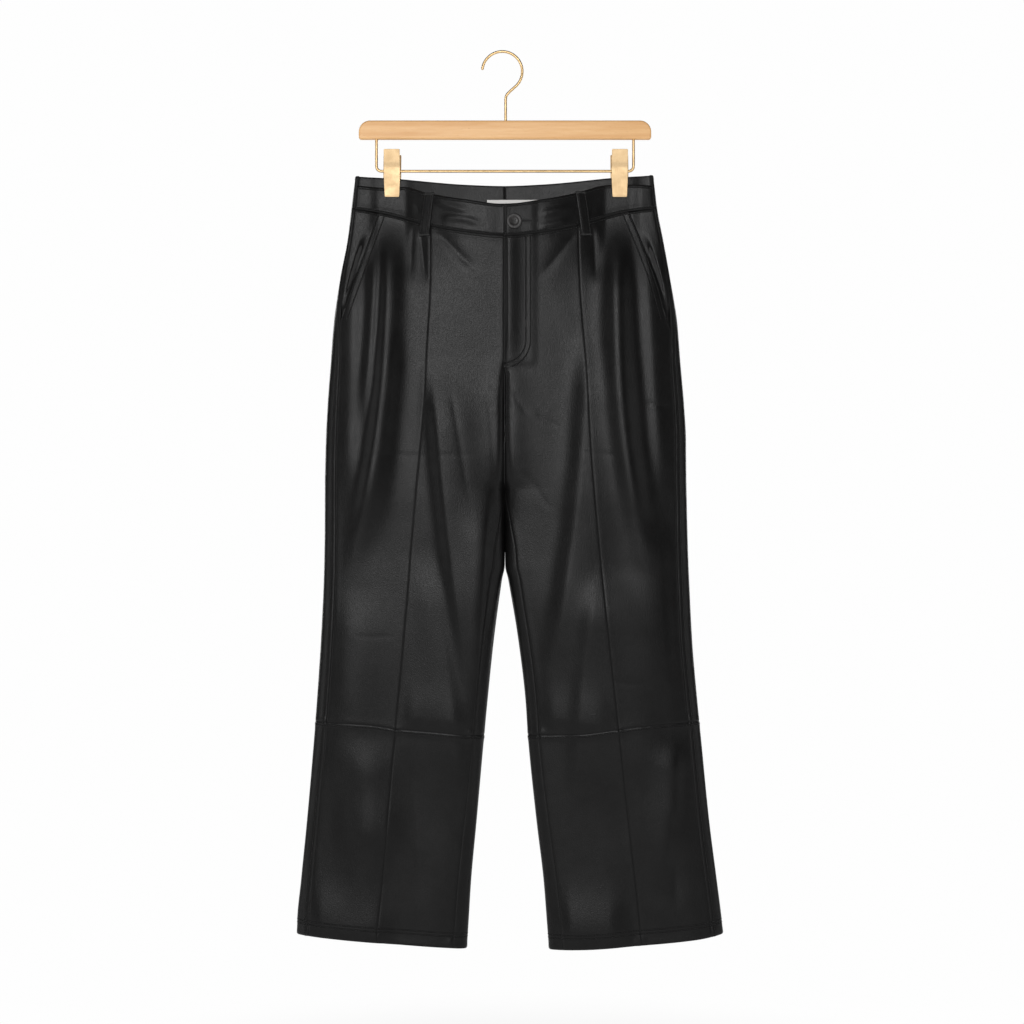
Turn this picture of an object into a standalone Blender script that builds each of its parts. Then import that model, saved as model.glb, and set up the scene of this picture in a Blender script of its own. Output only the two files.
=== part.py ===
"""Vinyl trousers hung by their waistband on a wooden clip hanger.

Sizes are in millimetres and become metres when a mesh is written. X runs to the viewer's right,
the front of the trousers faces -Y and Z is up. The origin is the seat of the hook, the underside
of its crown. L is the side at the viewer's left, R the side at the viewer's right.

Each leg is one tube of soft rectangular section. Above the crotch the two tubes run into each
other and are cut off at the centre plane, which gives the crotch its curve.
"""

import math
from collections import namedtuple

import bmesh
import bpy
import numpy as np
from mathutils import Vector

METRES = 0.001
LEFT = -1
RIGHT = 1
SIDES = {"L": LEFT, "R": RIGHT}

# Cloth
WALL = 1.6
BAND_WALL = 2.4
LOOP_WALL = 2.0
FACING_WALL = 1.2
LABEL_WALL = 1.0
HEM_TURN_UP = 1.3
GAP = 0.3
SEAM = GAP / 2
ROUNDNESS = 3.2

# Waist
BACK_BAND_HEIGHT = 41.0
PINCH_FULL = -185.0
PINCH_GONE = -345.0
CLIP_CENTRE = {"L": -144.5, "R": 146.7}

# Fly, pocket, loops, label
FLY_EDGE = -2.0
FLY_END = -402.0
FLY_WIDTH = 32.0
FLY_RISE = 1.1
FLY_FADE = 12.0
FLY_END_FADE = 14.0
FLY_REACH = -20.0
SHIELD_EDGES = (-13.0, 34.0)
UNDERLAP_START = -26.0
UNDERLAP_END = 24.0
FACING_LAP = 12.0
FACING_DROP = 2.8
FACING_END = -358.0
SINK_START = -312.0
SINK_FULL = -338.0
FACING_SETBACK = 3.5
LOOP_WIDTH = 13.0
LOOP_PUFF = 1.2
LOOP_STANDOFF = 0.6
SIDE_LOOP_TOP = -159.5
SIDE_LOOP_BOTTOM = -240.0
BACK_LOOP_TOP = -170.5
BACK_LOOP_BOTTOM = -226.0
LABEL_EDGES = (-23.4, 50.2)
LABEL_TOP = -187.0
LABEL_HEIGHT = 22.0

# Button
BUTTON_CENTRE = (11.8, -218.1)
BUTTON_RADIUS = 9.8
BUTTON_HEIGHT = 3.2
BUTTON_SEAT = 0.5
BUTTON_DISH = 1.0

# Hanger
BAR_LENGTH = 374.0
BAR_TOP = -86.9
BAR_BOTTOM = -110.7
BAR_THICKNESS = 12.0
BAR_TOP_RADIUS = 14.5
BAR_BOTTOM_RADIUS = 3.0
BAR_EDGE = 2.0
HOOK_RADIUS = 1.75
HOOK_CENTRE = (-3.5, -23.6)
HOOK_BEND = 25.6
HOOK_TIP_ANGLE = 172.0
HOOK_LEAVE_ANGLE = -45.0
SHANK_X = 0.8
WIRE_RADIUS = 1.8
WIRE_ARM_X = 164.5
RAIL_Z = -151.3
WIRE_BEND = 6.4
BORE_DEPTH = 14.0
BORE_CLEARANCE = 0.35
BORE_OVERRUN = 5.0

# Clips
JAW_WIDTH = 20.5
JAW_SHEET = 1.2
JAW_TOP = -124.3
JAW_BACK_TOP = -129.0
JAW_BOTTOM = -184.6
JAW_CORNER = 3.0
JAW_BACK_EXTRA = 2.4
SLEEVE_RADIUS = 4.2
SLEEVE_BORE = 2.2
SLEEVE_LENGTH = 13.0

Level = namedtuple("Level", "z left_outer left_inner right_inner right_outer front back")
# Edges of both legs and the depth of the cloth before and behind the hanger's plane, by height.
# An inner edge beyond x = 0 is a leg that runs into the other one.
LEVELS = (
    Level(-1150, -266.5, -49.0, 56.5, 281.0, 17, 16),
    Level(-1110, -266.0, -46.4, 53.4, 277.5, 17, 16),
    Level(-1058, -261.0, -43.2, 49.3, 271.0, 17, 16),
    Level(-982, -253.4, -36.2, 40.2, 261.3, 17, 16),
    Level(-879, -244.5, -27.0, 29.6, 251.1, 18, 16),
    Level(-828, -240.6, -22.2, 26.2, 246.0, 18, 16),
    Level(-751, -235.5, -14.2, 17.0, 239.5, 19, 17),
    Level(-674, -231.9, -3.8, 4.2, 235.7, 20, 18),
    Level(-655, -231.4, -0.7, 0.7, 234.9, 20, 18),
    Level(-600, -230.6, -0.2, 0.2, 233.3, 21, 19),
    Level(-560, -230.5, -0.15, 0.15, 232.4, 22, 20),
    Level(-545, -230.4, 12.0, -12.0, 232.1, 22, 20),
    Level(-525, -230.0, 42.0, -42.0, 231.9, 22, 20),
    Level(-495, -229.2, 128.0, -128.0, 231.7, 22, 20),
    Level(-455, -227.3, 215.0, -215.0, 229.6, 22, 20),
    Level(-392, -222.7, 219.0, -219.0, 224.2, 22, 20),
    Level(-345, -219.0, 219.0, -219.0, 220.5, 22, 19),
    Level(-290, -211.0, 210.0, -211.0, 211.5, 22, 17),
    Level(-240, -201.0, 200.5, -201.0, 202.0, 23, 15),
    Level(-200, -195.6, 192.5, -195.6, 194.0, 25, 13),
    Level(-150, -190.5, 187.5, -190.5, 189.0, 27, 12),
)

Pinch = namedtuple("Pinch", "x front back")
# Depth at the waist, pressed flat by the clips and bowed between them.
PINCH = (
    Pinch(0, 27.0, 11.5),
    Pinch(50, 24.0, 10.5),
    Pinch(90, 15.5, 8.0),
    Pinch(116, 7.5, 5.0),
    Pinch(130, 2.85, 2.85),
    Pinch(160, 2.85, 2.85),
    Pinch(176, 7.0, 5.5),
    Pinch(200, 8.0, 6.5),
)

SeamOffset = namedtuple("SeamOffset", "z outer inner")
# How far the side seam and the inseam lie in from the leg's outer and inner edge.
SEAM_OFFSETS = (
    SeamOffset(-1150, 16.0, 18.0),
    SeamOffset(-1000, 15.5, 16.0),
    SeamOffset(-860, 15.0, 14.0),
    SeamOffset(-720, 15.0, 14.0),
    SeamOffset(-665, 15.0, 15.0),
    SeamOffset(-636, 14.7, 13.5),
    SeamOffset(-600, 14.5, 7.0),
    SeamOffset(-560, 14.2, 0.3),
    SeamOffset(-400, 12.0, 0.3),
    SeamOffset(-345, 8.0, 0.3),
    SeamOffset(-290, 4.5, 0.3),
    SeamOffset(-150, 2.5, 0.3),
)

SeamLine = namedtuple("SeamLine", "z left right")
# The seam down the middle of each front leg.
FRONT_SEAM = (
    SeamLine(-1150, -165.3, 175.3),
    SeamLine(-1060, -156.2, 166.4),
    SeamLine(-987, -149.8, 157.4),
    SeamLine(-860, -139.0, 144.3),
    SeamLine(-776, -131.2, 135.0),
    SeamLine(-660, -121.6, 123.0),
    SeamLine(-592, -115.7, 116.6),
    SeamLine(-515, -108.8, 110.0),
    SeamLine(-425, -102.0, 104.6),
    SeamLine(-367, -98.6, 100.5),
    SeamLine(-300, -95.2, 95.8),
    SeamLine(-200, -96.0, 93.0),
)
# The slanted edge of each pocket, from the waist seam to where it meets the side seam.
POCKET_EDGE = (
    SeamLine(-440, -262.0, 262.0),
    SeamLine(-344, -210.5, 207.5),
    SeamLine(-300, -195.0, 195.0),
    SeamLine(-250, -177.5, 177.5),
    SeamLine(-200, -160.2, 157.5),
)

EdgeLine = namedtuple("EdgeLine", "x z")
FRONT_TOP = (
    EdgeLine(-191, -170.0),
    EdgeLine(-157, -172.5),
    EdgeLine(-131, -171.5),
    EdgeLine(-102, -180.0),
    EdgeLine(-50, -190.0),
    EdgeLine(0, -196.0),
    EdgeLine(50, -189.5),
    EdgeLine(90, -181.0),
    EdgeLine(134, -169.0),
    EdgeLine(158, -168.5),
    EdgeLine(188, -170.0),
)
BACK_TOP = (
    EdgeLine(-191, -157.7),
    EdgeLine(-133, -161.5),
    EdgeLine(-50, -167.5),
    EdgeLine(0, -169.0),
    EdgeLine(50, -167.0),
    EdgeLine(136, -160.0),
    EdgeLine(188, -156.5),
)
FRONT_WAIST_SEAM = (
    EdgeLine(-196, -199.6),
    EdgeLine(-165, -203.8),
    EdgeLine(-139, -209.2),
    EdgeLine(-95, -222.4),
    EdgeLine(-50, -231.0),
    EdgeLine(0, -236.0),
    EdgeLine(40, -232.6),
    EdgeLine(96, -220.4),
    EdgeLine(153, -203.8),
    EdgeLine(193, -199.2),
)
KNEE_SEAM = (
    EdgeLine(-245, -854.4),
    EdgeLine(-171, -858.4),
    EdgeLine(-138, -863.6),
    EdgeLine(-92, -867.5),
    EdgeLine(-28, -872.0),
    EdgeLine(31, -872.0),
    EdgeLine(97, -870.0),
    EdgeLine(145, -863.6),
    EdgeLine(189, -858.4),
    EdgeLine(250, -854.4),
)
HEM = (
    EdgeLine(-266, -1126.5),
    EdgeLine(-202, -1132.8),
    EdgeLine(-148, -1137.4),
    EdgeLine(-74, -1143.2),
    EdgeLine(-50, -1144.8),
    EdgeLine(57, -1146.2),
    EdgeLine(100, -1145.3),
    EdgeLine(172, -1140.0),
    EdgeLine(246, -1132.8),
    EdgeLine(280, -1126.0),
)

# Rows of the panels above and below the knee seam, as heights at the centre of the front.
UPPER_ROWS = (
    -236, -254, -273, -294, -316, -339, -363, -388, -415, -443, -470, -494, -514,
    -530, -543, -554, -567, -586, -612, -646, -684, -724, -764, -804, -840, -872,
)
LOWER_ROWS = (-872, -898, -930, -968, -1008, -1048, -1088, -1124.9, -1125.2, -1146)
ROW_FADE = 150.0

Fold = namedtuple("Fold", "face top_x top_z mid_x mid_z low_x low_z left right height")
# Ridges (height above 0) and troughs (below 0): their path down or across the cloth, their half
# width on the left or lower side and on the right or upper side, and how far they stand out.
FOLDS = (
    Fold("front", -155, -225, -157, -444, -207, -700, 15.0, 22.0, 7.0),
    Fold("front", -184, -280, -197, -400, -196, -540, 20.0, 15.0, 4.0),
    Fold("front", -108, -225, -105, -255, -101, -300, 5.0, 5.0, -2.5),
    Fold("front", -87, -228, -65, -252, -35, -284, 7.0, 7.0, -2.2),
    Fold("front", -84, -385, -63, -572, -36, -830, 16.0, 42.0, 5.0),
    Fold("front", -154, -690, -163, -775, -170, -850, 34.0, 34.0, 3.0),
    Fold("front", -225, -790, -165, -796, -100, -802, 22.0, 40.0, 2.5),
    Fold("front", -176, -875, -178, -970, -200, -1120, 24.0, 24.0, 2.5),
    Fold("front", -118, -880, -112, -990, -105, -1110, 22.0, 22.0, -2.5),
    Fold("front", 8, -214, 9, -300, 8, -395, 7.0, 10.0, -3.0),
    Fold("front", 91, -226, 70, -243, 46, -262, 6.0, 6.0, -2.2),
    Fold("front", 112, -222, 114, -252, 118, -300, 6.0, 6.0, -2.2),
    Fold("front", 144, -225, 146, -420, 192, -700, 17.0, 24.0, 7.0),
    Fold("front", 176, -280, 186, -440, 210, -600, 12.0, 18.0, 2.5),
    Fold("front", 112, -330, 104, -508, 66, -840, 26.0, 44.0, 5.0),
    Fold("front", 126, -640, 118, -764, 90, -860, 13.0, 40.0, 3.5),
    Fold("front", 125, -722, 165, -728, 212, -735, 16.0, 50.0, 3.5),
    Fold("front", 108, -875, 106, -915, 112, -990, 16.0, 16.0, 2.5),
    Fold("front", 205, -880, 204, -956, 190, -1060, 20.0, 20.0, 3.0),
    Fold("front", 62, -880, 86, -985, 128, -1075, 16.0, 16.0, -3.0),
    Fold("front", 216, -960, 215, -1020, 222, -1110, 12.0, 12.0, -2.5),
    Fold("back", -148, -240, -150, -400, -160, -560, 12.0, 18.0, 5.0),
    Fold("back", -112, -250, -106, -450, -84, -700, 12.0, 16.0, -4.5),
    Fold("back", -176, -300, -184, -470, -192, -700, 16.0, 12.0, 3.5),
    Fold("back", -70, -420, -92, -600, -130, -850, 30.0, 14.0, 4.0),
    Fold("back", -130, -890, -150, -1000, -160, -1120, 24.0, 24.0, -3.0),
    Fold("back", 148, -240, 152, -420, 168, -600, 18.0, 12.0, 5.0),
    Fold("back", 118, -260, 108, -430, 92, -660, 15.0, 12.0, -4.5),
    Fold("back", 180, -310, 186, -500, 198, -720, 12.0, 16.0, 3.5),
    Fold("back", 78, -430, 104, -640, 136, -860, 14.0, 30.0, 4.0),
    Fold("back", 180, -880, 168, -1000, 150, -1120, 26.0, 26.0, 3.0),
)
FOLD_TOP_FADE = 0.22
FOLD_LOW_FADE = 0.35
FOLD_ROOM = (3.0, 12.0)

FrontLoop = namedtuple("FrontLoop", "name side top_x top_z low_x low_z")
FRONT_LOOPS = (
    FrontLoop("belt_loop_front_L", LEFT, -96.0, -180.5, -102.8, -236.0),
    FrontLoop("belt_loop_front_R", RIGHT, 96.0, -179.0, 103.7, -235.5),
)
# Distances in from the folded edge of the cloth at which a side loop has its points.
SIDE_LOOP_PLACES = (0.6, 2.0, 7.0, 13.0)

Bend = namedtuple("Bend", "z y half_width")
# Profile of a jaw below its top: how far it stands from the hanger's plane, and how it narrows.
FINGER_PLATE = 10.5
JAW_GRIP = 2.8
JAW_BENDS = (
    Bend(-140.0, 7.2, 0.0),
    Bend(RAIL_Z + 3, SLEEVE_RADIUS + GAP + 0.2, 0.0),
    Bend(RAIL_Z - 3, SLEEVE_RADIUS + GAP, 0.0),
    Bend(-163.0, 3.4, 0.0),
    Bend(-170.0, JAW_GRIP, -0.2),
    Bend(JAW_BOTTOM + JAW_CORNER, JAW_GRIP, -0.6),
    Bend(JAW_BOTTOM + JAW_CORNER * 0.3, JAW_GRIP + 0.2, -0.6 - JAW_CORNER * 0.3),
    Bend(JAW_BOTTOM, JAW_GRIP + 0.6, -0.6 - JAW_CORNER),
)

Knot = namedtuple("Knot", "x z")
# Where the hook's wire turns from its slope down into the shank, measured from the shank.
HOOK_KNEE_Z = -51.0
HOOK_SLOPE_END = 3.4
HOOK_KNOTS = (Knot(1.6, -2.2), Knot(0.3, -5.2), Knot(0.0, -9.0))


def column(table, name):
    """One column of a table, in rising order of its first column."""
    rows = sorted(table)
    return np.array([getattr(row, name) for row in rows], float)


def smooth(table, at, name):
    """A table's column read at heights or widths between its rows, on a curve with no overshoot."""
    xs = column(table, table[0]._fields[0])
    ys = column(table, name)
    at = np.clip(np.asarray(at, float), xs[0], xs[-1])
    step = np.diff(xs)
    rise = np.diff(ys) / step
    slope = np.zeros(len(xs))
    slope[0], slope[-1] = rise[0], rise[-1]
    same_way = rise[:-1] * rise[1:] > 0
    with np.errstate(divide="ignore", invalid="ignore"):
        mean = 2 * rise[:-1] * rise[1:] / (rise[:-1] + rise[1:])
    slope[1:-1] = np.where(same_way, mean, 0.0)
    k = np.clip(np.searchsorted(xs, at, side="right") - 1, 0, len(step) - 1)
    t = (at - xs[k]) / step[k]
    return (
        ys[k] * (1 + 2 * t) * (1 - t) ** 2
        + slope[k] * step[k] * t * (1 - t) ** 2
        + ys[k + 1] * t * t * (3 - 2 * t)
        + slope[k + 1] * step[k] * t * t * (t - 1)
    )


def ease(value):
    """0 below 0, 1 above 1, and a soft step between."""
    value = np.clip(value, 0.0, 1.0)
    return value * value * (3 - 2 * value)


def side_name(side):
    return "left" if side == LEFT else "right"


def outer_edge(side, z):
    return smooth(LEVELS, z, side_name(side) + "_outer")


def inner_edge(side, z):
    return smooth(LEVELS, z, side_name(side) + "_inner")


def section(side, z):
    """Centre and half width of a leg's section."""
    outer = outer_edge(side, z)
    inner = inner_edge(side, z)
    return (outer + inner) / 2, np.abs(outer - inner) / 2


def depth(face, x, z):
    """How far the cloth stands from the hanger's plane, before the section rounds it."""
    pinched = smooth(PINCH, np.abs(x), face)
    pressed = ease((z - PINCH_GONE) / (PINCH_FULL - PINCH_GONE))
    return smooth(LEVELS, z, face) * (1 - pressed) + pinched * pressed


def fold_height(face, x, z):
    """Sum of the folds of one face at a point."""
    total = np.zeros(np.broadcast(x, z).shape)
    for row in FOLDS:
        if row.face != face:
            continue
        if abs(row.low_z - row.top_z) > abs(row.low_x - row.top_x):
            start, middle, end = row.top_z, row.mid_z, row.low_z
            path_start, path_middle, path_end = row.top_x, row.mid_x, row.low_x
            ahead, beside = z, x
        else:
            start, middle, end = row.top_x, row.mid_x, row.low_x
            path_start, path_middle, path_end = row.top_z, row.mid_z, row.low_z
            ahead, beside = x, z
        run = np.clip((ahead - start) / (end - start), 0, 1)
        mid = (middle - start) / (end - start)
        bend = (path_middle - path_start - (path_end - path_start) * mid) / (mid * (mid - 1))
        path = path_start + (path_end - path_start) * run + bend * run * (run - 1)
        slant = ((path_end - path_start) + bend * (2 * run - 1)) / (end - start)
        away = (beside - path) / np.sqrt(1 + slant * slant)
        away = away / np.where(away < 0, row.left, row.right)
        taper = ease(run / FOLD_TOP_FADE) * ease((1 - run) / FOLD_LOW_FADE)
        total = total + row.height * taper * np.exp(-away * away)
    return total


def fly_rise(x, z):
    """The right front laps over the left one and stands proud of it along the fly."""
    across = ease((FLY_WIDTH + FLY_FADE - x) / FLY_FADE) * (x > FLY_REACH)
    down = ease((z - FLY_END + FLY_END_FADE / 4) / FLY_END_FADE)
    return FLY_RISE * across * down


def leg_point(side, turn, z, inset=0.0, sink=0.0):
    """A point of a leg's tube, in millimetres, as an array that ends in x, y, z.

    The turn is 0 at the outer edge, pi / 2 at the front, pi at the inner edge and 3 pi / 2 at the
    back. The inset shrinks the section, which gives a wall its inner face, and the sink moves the
    point straight in.
    """
    turn, z = np.broadcast_arrays(np.asarray(turn, float), np.asarray(z, float))
    centre, half = section(side, z)
    cos, sin = np.cos(turn), np.sin(turn)
    along = np.sign(cos) * np.abs(cos) ** (2 / ROUNDNESS)
    across = np.abs(sin) ** (2 / ROUNDNESS)
    x = centre + side * (half - inset) * along
    front = depth("front", x, z)
    back = depth("back", x, z)
    low, high = FOLD_ROOM
    rise = fold_height("front", x, z) * ease((front * across - low) / (high - low))
    rise = rise + (fly_rise(x, z) if side == RIGHT else 0.0)
    swell = fold_height("back", x, z) * ease((back * across - low) / (high - low))
    y = np.where(sin > 0, -(front - inset) * across - rise + sink, (back - inset) * across + swell - sink)
    return np.stack([x, y, z], axis=-1)


def turn_at(side, x, z):
    """The turn at which the front of a leg's tube passes the given x."""
    centre, half = section(side, z)
    along = np.clip(side * (x - centre) / half, -1, 1)
    return np.arccos(np.sign(along) * np.abs(along) ** (ROUNDNESS / 2))


def outward(side, turn, z):
    """Unit normal of a leg's tube."""
    near, far = leg_point(side, turn - 0.01, z), leg_point(side, turn + 0.01, z)
    low, high = leg_point(side, turn, z - 0.5), leg_point(side, turn, z + 0.5)
    normal = np.cross(high - low, far - near) * side
    return normal / np.linalg.norm(normal, axis=-1, keepdims=True)


def side_seam(side, z, gap):
    """x of the side seam; a gap above 0 keeps to the front panel's side of it."""
    return outer_edge(side, z) - side * (smooth(SEAM_OFFSETS, z, "outer") + gap)


def centre_seam(z):
    """x of the centre front: the fly's edge, and the middle of the crotch seam below it."""
    return FLY_EDGE * ease((z - FLY_END + FLY_FADE) / FLY_FADE)


def front_inner_limit(side, z, gap):
    """x where a front leg ends: at the centre front above the crotch, at the inseam below."""
    inseam = inner_edge(side, z) + side * (smooth(SEAM_OFFSETS, z, "inner") + gap)
    centre = centre_seam(z) + side * gap
    return np.minimum(inseam, centre) if side == LEFT else np.maximum(inseam, centre)


def front_seam(side, z):
    return smooth(FRONT_SEAM, z, side_name(side))


def pocket_edge(side, z):
    return smooth(POCKET_EDGE, z, side_name(side))


def front_outer_limit(side, z, gap):
    """x where a front leg begins: along the pocket's edge, and at the side seam below it."""
    seam = side_seam(side, z, gap)
    edge = pocket_edge(side, z)
    return np.maximum(seam, edge) if side == LEFT else np.minimum(seam, edge)


def back_start(side, z):
    """Turn where a back leg begins: at the inseam, and above the crotch at the centre back."""
    inner = inner_edge(side, z)
    inseam = inner + side * (smooth(SEAM_OFFSETS, z, "inner") - SEAM)
    joined = side * inner < 0
    at_inseam = turn_at(side, inseam, z)
    at_centre = 2 * math.pi - turn_at(side, side * SEAM, z)
    return np.where(joined, at_centre, at_inseam)


def back_end(side, z):
    return 2 * math.pi + turn_at(side, side_seam(side, z, -SEAM), z)


def edge_height(table, x):
    return smooth(table, x, "z")


def back_waist_seam(x):
    return edge_height(BACK_TOP, x) - BACK_BAND_HEIGHT


def front_waist_seam(x):
    return edge_height(FRONT_WAIST_SEAM, x)


def knee(x):
    return edge_height(KNEE_SEAM, x)


def hem(x):
    return edge_height(HEM, x)


def fitted_rows(rows, top, bottom):
    """Heights of a panel's rows: level in the middle, drawn to the seams at its top and bottom."""
    rows = np.array(rows, float)

    def height(x, row):
        level = rows[row]
        near_top = ease(1 - (rows[0] - level) / ROW_FADE)
        near_bottom = ease(1 - (level - rows[-1]) / ROW_FADE)
        level = level + (top(x) - SEAM - rows[0]) * near_top
        return level + (bottom(x) + SEAM - rows[-1]) * near_bottom

    return height


def even_rows(count, top, bottom):
    """Heights of rows spread evenly between two edges."""

    def height(x, row):
        return top(x) + (bottom(x) - top(x)) * row / (count - 1)

    return height


def grid(side, start, end, height, row_count, column_count):
    """Turn, x and z of a panel's points, as rows of columns.

    start and end give the turn of the first and last column at a height, height the z of a row
    at an x.
    """
    share = np.linspace(0, 1, column_count)[None, :]
    rows = np.arange(row_count)[:, None] * np.ones((1, column_count), int)
    z = height(np.zeros((row_count, column_count)), rows)
    for _ in range(6):
        turn = start(z) * (1 - share) + end(z) * share
        x = leg_point(side, turn, z)[..., 0]
        z = height(x, rows)
    return turn, x, z


def closed_body(outer, inner):
    """Vertices and faces of a wall between two grids of points."""
    rows, columns = outer.shape[:2]
    points = np.concatenate([outer.reshape(-1, 3), inner.reshape(-1, 3)])
    index = np.arange(rows * columns).reshape(rows, columns)
    faces = []
    for layer, flip in ((index, False), (index + rows * columns, True)):
        for r in range(rows - 1):
            for c in range(columns - 1):
                quad = (layer[r, c], layer[r + 1, c], layer[r + 1, c + 1], layer[r, c + 1])
                faces.append(quad[::-1] if flip else quad)
    ring = list(index[0]) + list(index[1:, -1]) + list(index[-1, -2::-1]) + list(index[-2:0:-1, 0])
    shift = rows * columns
    for a, b in zip(ring, ring[1:] + ring[:1]):
        faces.append((a, b, b + shift, a + shift))
    return points, faces


def add_body(name, points, faces, material, smooth_angle=40.0):
    """Writes a closed body as an object, its points in millimetres and its faces turned outwards."""
    mesh = bpy.data.meshes.new(name)
    mesh.from_pydata([tuple(point * METRES) for point in np.asarray(points)], [], faces)
    shape = bmesh.new()
    shape.from_mesh(mesh)
    bmesh.ops.recalc_face_normals(shape, faces=shape.faces)
    shape.to_mesh(mesh)
    shape.free()
    mesh.shade_smooth()
    mesh.set_sharp_from_angle(angle=math.radians(smooth_angle))
    mesh.materials.append(material)
    body = bpy.data.objects.new(name, mesh)
    bpy.context.scene.collection.objects.link(body)
    return body


def make_material(name, colour, roughness, metallic=0.0):
    material = bpy.data.materials.new(name)
    material.use_nodes = True
    shader = material.node_tree.nodes["Principled BSDF"]
    shader.inputs["Base Color"].default_value = (*colour, 1.0)
    shader.inputs["Roughness"].default_value = roughness
    shader.inputs["Metallic"].default_value = metallic
    material.diffuse_color = (*colour, 1.0)
    return material


def wall(name, side, start, end, height, rows, columns, thickness, material, sink=None, turn_up=0.0):
    """A cloth panel: its outer face on the leg's tube, its inner face a wall's thickness inside."""
    turn, x, z = grid(side, start, end, height, rows, columns)
    shift = sink(x, z) if sink else 0.0
    outer = leg_point(side, turn, z, 0.0, shift)
    inner = leg_point(side, turn, z, thickness, shift)
    if turn_up:
        inner[-2:] = leg_point(side, turn, z, thickness + turn_up)[-2:]
    points, faces = closed_body(outer, inner)
    return add_body(name, points, faces, material)


def at_x(side, x_of, gap=0.0):
    """Turn of a line on the front of a leg, given as x by height."""
    return lambda z: turn_at(side, x_of(side, z) + gap, z)


def limit(side, x_of, gap):
    """Turn of a panel's edge, held back from its seam by the gap."""
    return lambda z: turn_at(side, x_of(side, z, gap), z)


def front_legs(name, side, material):
    """The four panels of one front leg, joined down its middle and at the knee."""
    upper = fitted_rows(UPPER_ROWS, front_waist_seam, knee)
    lower = fitted_rows(LOWER_ROWS, knee, hem)
    outer_start = limit(side, front_outer_limit, SEAM)
    side_start = limit(side, side_seam, SEAM)
    outer_end = at_x(side, front_seam, side * SEAM)
    inner_start = at_x(side, front_seam, -side * SEAM)
    inner_end = limit(side, front_inner_limit, SEAM)
    wall(f"front_outer_upper_{name}", side, outer_start, outer_end, upper,
         len(UPPER_ROWS), 15, WALL, material)
    wall(f"front_inner_upper_{name}", side, inner_start, inner_end, upper,
         len(UPPER_ROWS), 11, WALL, material)
    wall(f"front_outer_lower_{name}", side, side_start, outer_end, lower,
         len(LOWER_ROWS), 8, WALL, material, turn_up=HEM_TURN_UP)
    wall(f"front_inner_lower_{name}", side, inner_start, inner_end, lower,
         len(LOWER_ROWS), 9, WALL, material, turn_up=HEM_TURN_UP)


def back_legs(name, side, material):
    """The two panels of one back leg, which wrap round to the seams on the front."""
    upper = fitted_rows(UPPER_ROWS, back_waist_seam, knee)
    lower = fitted_rows(LOWER_ROWS, knee, hem)

    def start(z):
        return back_start(side, z)

    def end(z):
        return back_end(side, z)

    wall(f"back_upper_{name}", side, start, end, upper, len(UPPER_ROWS), 20, WALL, material)
    wall(f"back_lower_{name}", side, start, end, lower, len(LOWER_ROWS), 18, WALL, material,
         turn_up=HEM_TURN_UP)


def pocket_facing(name, side, material):
    """The hip piece that shows beside the slanted opening and runs on behind the front panel."""

    def near_edge(_, z):
        lower = np.clip((SINK_START - z) / (SINK_START - SINK_FULL), 0, 1)
        return side_seam(side, z, SEAM + FACING_SETBACK * lower)

    def far_edge(_, z):
        return pocket_edge(side, z) - side * FACING_LAP

    def sink(x, z):
        seam = side_seam(side, z, SEAM)
        shown = np.abs(seam - pocket_edge(side, z))
        past_seam = np.abs(x - seam) / np.maximum(shown - 3, 1)
        past_slant = (SINK_START - z) / (SINK_START - SINK_FULL)
        return FACING_DROP * np.clip(np.maximum(past_seam, past_slant), 0, 1)

    height = even_rows(9, lambda x: front_waist_seam(x) - SEAM, lambda x: FACING_END + 0 * x)
    wall(f"pocket_facing_{name}", side, at_x(side, near_edge), at_x(side, far_edge), height,
         9, 7, FACING_WALL, material, sink=sink)


def waistband_front(name, side, material):
    """Front half of the band; the left one runs on under the right one's buttonhole end."""

    def end(z):
        x = FLY_EDGE + SEAM if side == RIGHT else UNDERLAP_END
        return turn_at(side, x + 0 * z, z)

    def sink(x, z):
        under = ease((x - UNDERLAP_START) / (FLY_EDGE - GAP - UNDERLAP_START))
        return (BAND_WALL + GAP - FLY_RISE) * under + 0 * z if side == LEFT else 0 * x

    height = even_rows(4, lambda x: edge_height(FRONT_TOP, x), lambda x: front_waist_seam(x) + SEAM)
    wall(f"waistband_front_{name}", side, limit(side, side_seam, SEAM), end, height,
         4, 24, BAND_WALL, material, sink=sink)


def waistband_back(name, side, material):
    """Back half of the band, from the centre back round the folded edge to the side seam."""

    def start(z):
        return 2 * math.pi - turn_at(side, side * SEAM + 0 * z, z)

    def end(z):
        return back_end(side, z)

    height = even_rows(4, lambda x: edge_height(BACK_TOP, x), lambda x: back_waist_seam(x) + SEAM)
    wall(f"waistband_back_{name}", side, start, end, height, 4, 20, BAND_WALL, material)


def fly_shield(material):
    """Strip behind the fly, which carries the closed zip."""
    near, far = SHIELD_EDGES

    def sink(x, z):
        return WALL + FLY_RISE + 2 * GAP + 0 * x

    height = even_rows(8, lambda x: front_waist_seam(x) - SEAM, lambda x: FLY_END + 6 + 0 * x)
    wall("fly_shield", RIGHT, lambda z: turn_at(RIGHT, far + 0 * z, z),
         lambda z: turn_at(RIGHT, near + 0 * z, z), height, 8, 6, WALL, material, sink=sink)


def loop_on(name, side, turn, z, material):
    """A loop made from the cloth's own points moved out, with the most puff half way down."""
    points = leg_point(side, turn, z)
    normals = outward(side, turn, z)
    half_way = np.sin(np.linspace(0, math.pi, len(points)))[:, None, None]
    inner = points + normals * (LOOP_STANDOFF + LOOP_PUFF * half_way)
    outer = inner + normals * LOOP_WALL
    body_points, faces = closed_body(outer, inner)
    return add_body(name, body_points, faces, material)


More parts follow.
